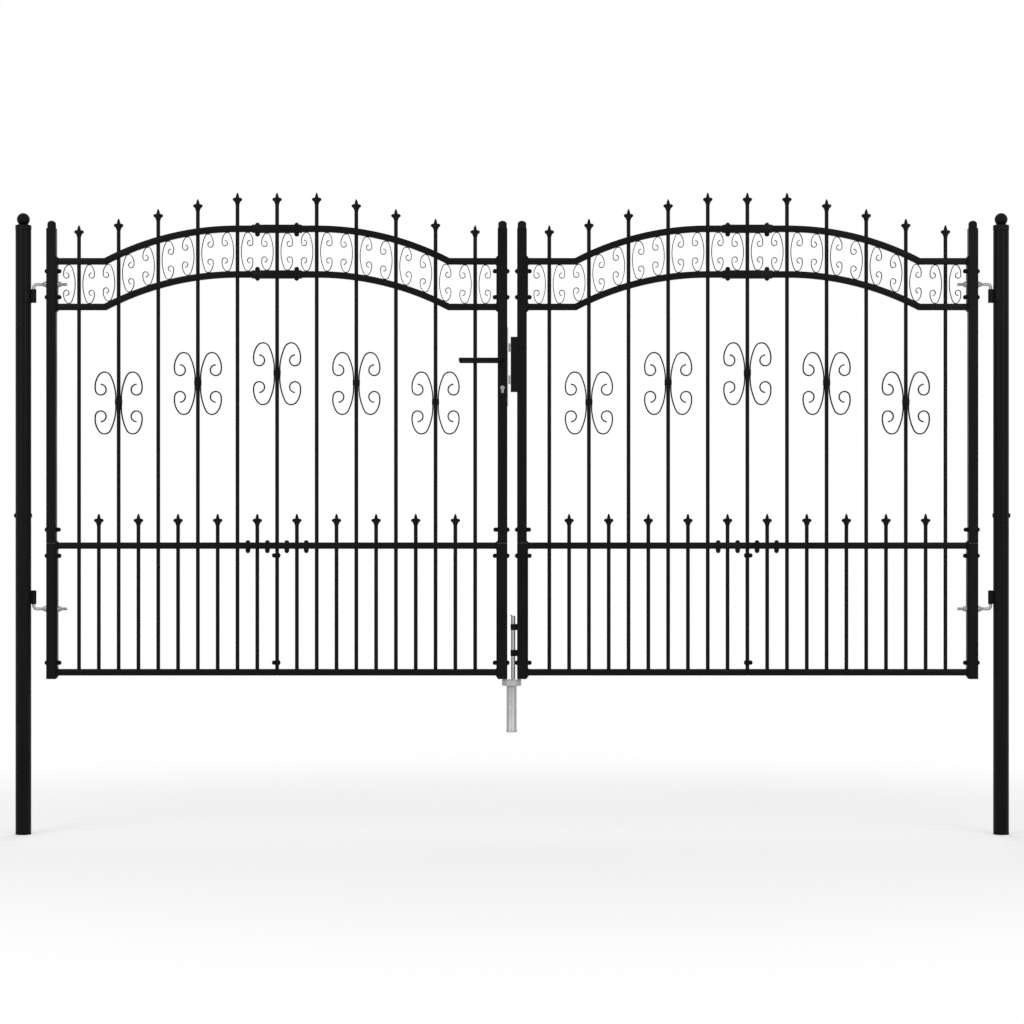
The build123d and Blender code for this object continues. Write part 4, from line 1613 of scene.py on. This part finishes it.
    def sliding_bolts(self) -> None:
        """Makes the latch, rounded on the side that meets the keep, and the square deadbolt."""
        length, deep, high = self.bolt_size
        tip = self.bolt_tip
        for name, body, node, level in (
            ("latch_tongue", Body.LATCH, "latch_bolt", self.latch_z),
            ("deadbolt_bar", Body.DEAD_BOLT, "deadbolt", self.deadbolt_z),
        ):
            work = Workpiece(name, body, BRUSHED_STEEL, (node,))
            low = (tip - length, -deep / 2, level - high / 2)
            bolt = block(low, (tip, deep / 2, level + high / 2))
            if body is Body.LATCH:
                edges = bolt.edges
                nose = [e for e in edges if all(v.co.x > tip - 1 and v.co.y < 0 for v in e.verts)]
                soften(bolt, nose, deep / 4, steps=5)
            soften(bolt, bolt.edges, width=0.4)
            work.take(bolt)
            work.hang()

    def screws(self) -> None:
        """Makes the screws of the lock's front plate and of the keep box."""
        work = Workpiece("front_plate_screws", Body.LEFT_LEAF, BRUSHED_STEEL)
        places = [aimed((self.plate_face, 0.0, z), X_AXIS) for z in self.plate_screw_levels]
        work.take(turned(self.plate_screw, sides=20), places)
        work.hang()
        work = Workpiece("keep_screws", Body.RIGHT_LEAF, POWDER_COAT)
        places = [aimed((*self.keep_screw_place, z), -Y_AXIS) for z in self.keep_screw_levels]
        work.take(turned(self.keep_screw, sides=20), places)
        work.hang()


@dataclass(frozen=True)
class DropBolt:
    """The round drop bolt on the right leaf, with the guides that it slides in."""

    x: float = 1511.0
    radius: float = 6.4
    tip: float = 479.5
    top: float = 674.0
    finger_radius: float = 2.5
    finger_length: float = 14.0
    finger_drop: float = 5.0
    finger_turn: float = math.radians(35.0)
    finger_lean: float = math.radians(-60.0)
    guide_levels: Pair = (639.6, 559.4)
    guide_height: float = 19.0
    guide_bore: float = 6.9
    guide_radius: float = 8.3
    guide_edge: float = 0.8
    tab_gap: float = 0.2
    stile_face: float = 1523.0

    def make(self) -> None:
        """Makes the bolt, with its finger rod, and its guides."""
        work = Workpiece("drop_rod_round", Body.DROP_ROD, ZINC_PLATE, ("drop_bolt",))
        bolt = rod(self.radius, self.top - self.tip, edge=1.2, sides=32)
        work.take(bolt, [shifted(x=self.x, z=self.tip)])
        turn = Matrix.Rotation(self.finger_turn, 4, "Z")
        lean = Matrix.Rotation(self.finger_lean, 4, "X")
        finger = rod(self.finger_radius, self.finger_length, edge=0.8, sides=16)
        root = shifted(x=self.x, z=self.top - self.finger_drop)
        work.take(finger, [root @ (turn @ lean)])
        work.hang()
        work = Workpiece("drop_rod_eyes", Body.RIGHT_LEAF, POWDER_COAT, ("drop_bolt_guides",))
        outer, height, edge = self.guide_radius, self.guide_height, self.guide_edge
        for level in self.guide_levels:
            low = level - height / 2
            eye = tube(outer, self.guide_bore, height, edge)
            work.take(eye, [shifted(x=self.x, z=low)])
            near = (self.x + self.guide_bore + self.tab_gap, -outer, low)
            work.take(block(near, (self.stile_face, outer, low + height), edge))
        work.hang()


# Studio


@dataclass(frozen=True)
class Studio:
    """The pale floor, the white surround, the soft lamps and the camera, in metres."""

    middle: Point = (1.5073, 0.0, 0.9943)
    camera_distance: float = 9.2
    view_width: float = 3.159
    sensor_width: float = 36.0
    floor_half: float = 30.0
    floor_colour: str = "#fafafa"
    fade_span: Pair = (1.6, 3.4)
    fade_least: float = 0.35
    fill_strength: float = 0.55
    white_strength: float = 1.0
    lamps: Sequence[tuple[str, Point, Pair, float]] = (
        ("front_left_softbox", (-2.6, -5.2, 3.8), (3.4, 3.4), 150.0),
        ("front_right_softbox", (5.4, -5.4, 3.2), (3.4, 3.4), 125.0),
        ("back_softbox", (1.5, 4.8, 4.6), (4.0, 3.0), 110.0),
    )

    def make(self) -> None:
        """Sets up everything that isn't part of the gate."""
        self.floor()
        self.world()
        for name, at, size, watts in self.lamps:
            self.lamp(name, at, size, watts)
        self.camera()
        bpy.context.scene.view_settings.view_transform = "Standard"

    def floor(self) -> None:
        """Makes the floor, which keeps the gate's soft shadow."""
        mesh = bpy.data.meshes.new("studio_floor")
        part = bmesh.new()
        bmesh.ops.create_grid(part, x_segments=1, y_segments=1, size=self.floor_half)
        part.to_mesh(mesh)
        part.free()
        mesh.materials.append(self.floor_material())
        floor = put("studio_floor", mesh)

    def floor_material(self) -> bpy.types.Material:
        """Makes a matte white that fades to pure white away from the gate.

        Returns:
            The material.
        """
        material = bpy.data.materials.new("white_studio_floor")
        tree = empty_tree(material)
        place = add_node(tree, "TexCoord").outputs["Object"]
        foot = {1: (self.middle[0], self.middle[1], 0.0)}
        out = add_node(tree, "VectorMath", foot, {0: place}, operation="DISTANCE")
        near, far = self.fade_span
        share = add_node(
            tree,
            "MapRange",
            {"From Min": near, "From Max": far, "To Min": self.fade_least},
            {"Value": out.outputs["Value"]},
            interpolation_type="SMOOTHSTEP",
        )
        factors = {0: share.outputs["Result"], 1: self.shown_ray(tree)}
        fade = add_node(tree, "Math", links=factors, operation="MULTIPLY")
        matte = add_node(tree, "BsdfDiffuse", {"Color": linear(self.floor_colour)})
        white = add_node(tree, "Emission", {"Strength": self.white_strength})
        ends = {0: fade.outputs[0], 1: matte.outputs[0], 2: white.outputs[0]}
        mixed = add_node(tree, "MixShader", links=ends)
        add_node(tree, "OutputMaterial", links={"Surface": mixed.outputs[0]})
        return material

    def shown_ray(self, tree: bpy.types.NodeTree) -> bpy.types.NodeSocket:
        """Adds the test for a ray that shows the surround, straight or in metal or glass.

        Args:
            tree: The nodes of the material or world.

        Returns:
            1 for such a ray, otherwise 0.
        """
        rays = add_node(tree, "LightPath").outputs
        shown = rays["Is Camera Ray"]
        for kind in ("Is Glossy Ray", "Is Transmission Ray"):
            links = {0: shown, 1: rays[kind]}
            shown = add_node(tree, "Math", links=links, operation="MAXIMUM").outputs[0]
        return shown

    def world(self) -> None:
        """Makes the surround: white where it is seen or mirrored, and a soft fill elsewhere."""
        world = bpy.data.worlds.new("white_surround")
        bpy.context.scene.world = world
        tree = empty_tree(world)
        links = {0: self.shown_ray(tree)}
        for key, strength in ((1, self.fill_strength), (2, self.white_strength)):
            values = {"Color": WHITE, "Strength": strength}
            links[key] = add_node(tree, "Background", values).outputs[0]
        mixed = add_node(tree, "MixShader", links=links)
        add_node(tree, "OutputWorld", links={"Surface": mixed.outputs[0]})

    def lamp(self, name: str, at: Point, size: Pair, watts: float) -> None:
        """Hangs a softbox that faces the middle of the gate.

        Args:
            name: Its name.
            at: Where it hangs.
            size: Its width and height.
            watts: Its power.
        """
        light = bpy.data.lights.new(name, "AREA")
        light.shape = "RECTANGLE"
        light.size, light.size_y = size
        light.energy = watts
        way = Vector(self.middle) - Vector(at)
        put(name, light).matrix_world = aimed(at, way) @ Matrix.Rotation(math.pi, 4, "X")

    def camera(self) -> None:
        """Sets the camera level in front of the gate, as the photograph was taken."""
        lens = bpy.data.cameras.new("front_camera")
        lens.sensor_width = self.sensor_width
        lens.lens = lens.sensor_width * self.camera_distance / self.view_width
        camera = put("front_camera", lens)
        x, y, z = self.middle
        camera.location = (x, y - self.camera_distance, z)
        camera.rotation_euler = (math.pi / 2, 0.0, 0.0)
        bpy.context.scene.camera = camera


def main() -> None:
    """Builds the gate's pieces in order, then the studio."""
    logging.basicConfig(level=logging.INFO, format="%(message)s")
    Posts().make()
    for side in Side:
        Leaf(side).make()
    Lock().make()
    DropBolt().make()
    Studio().make()


if __name__ == "__main__":
    main()
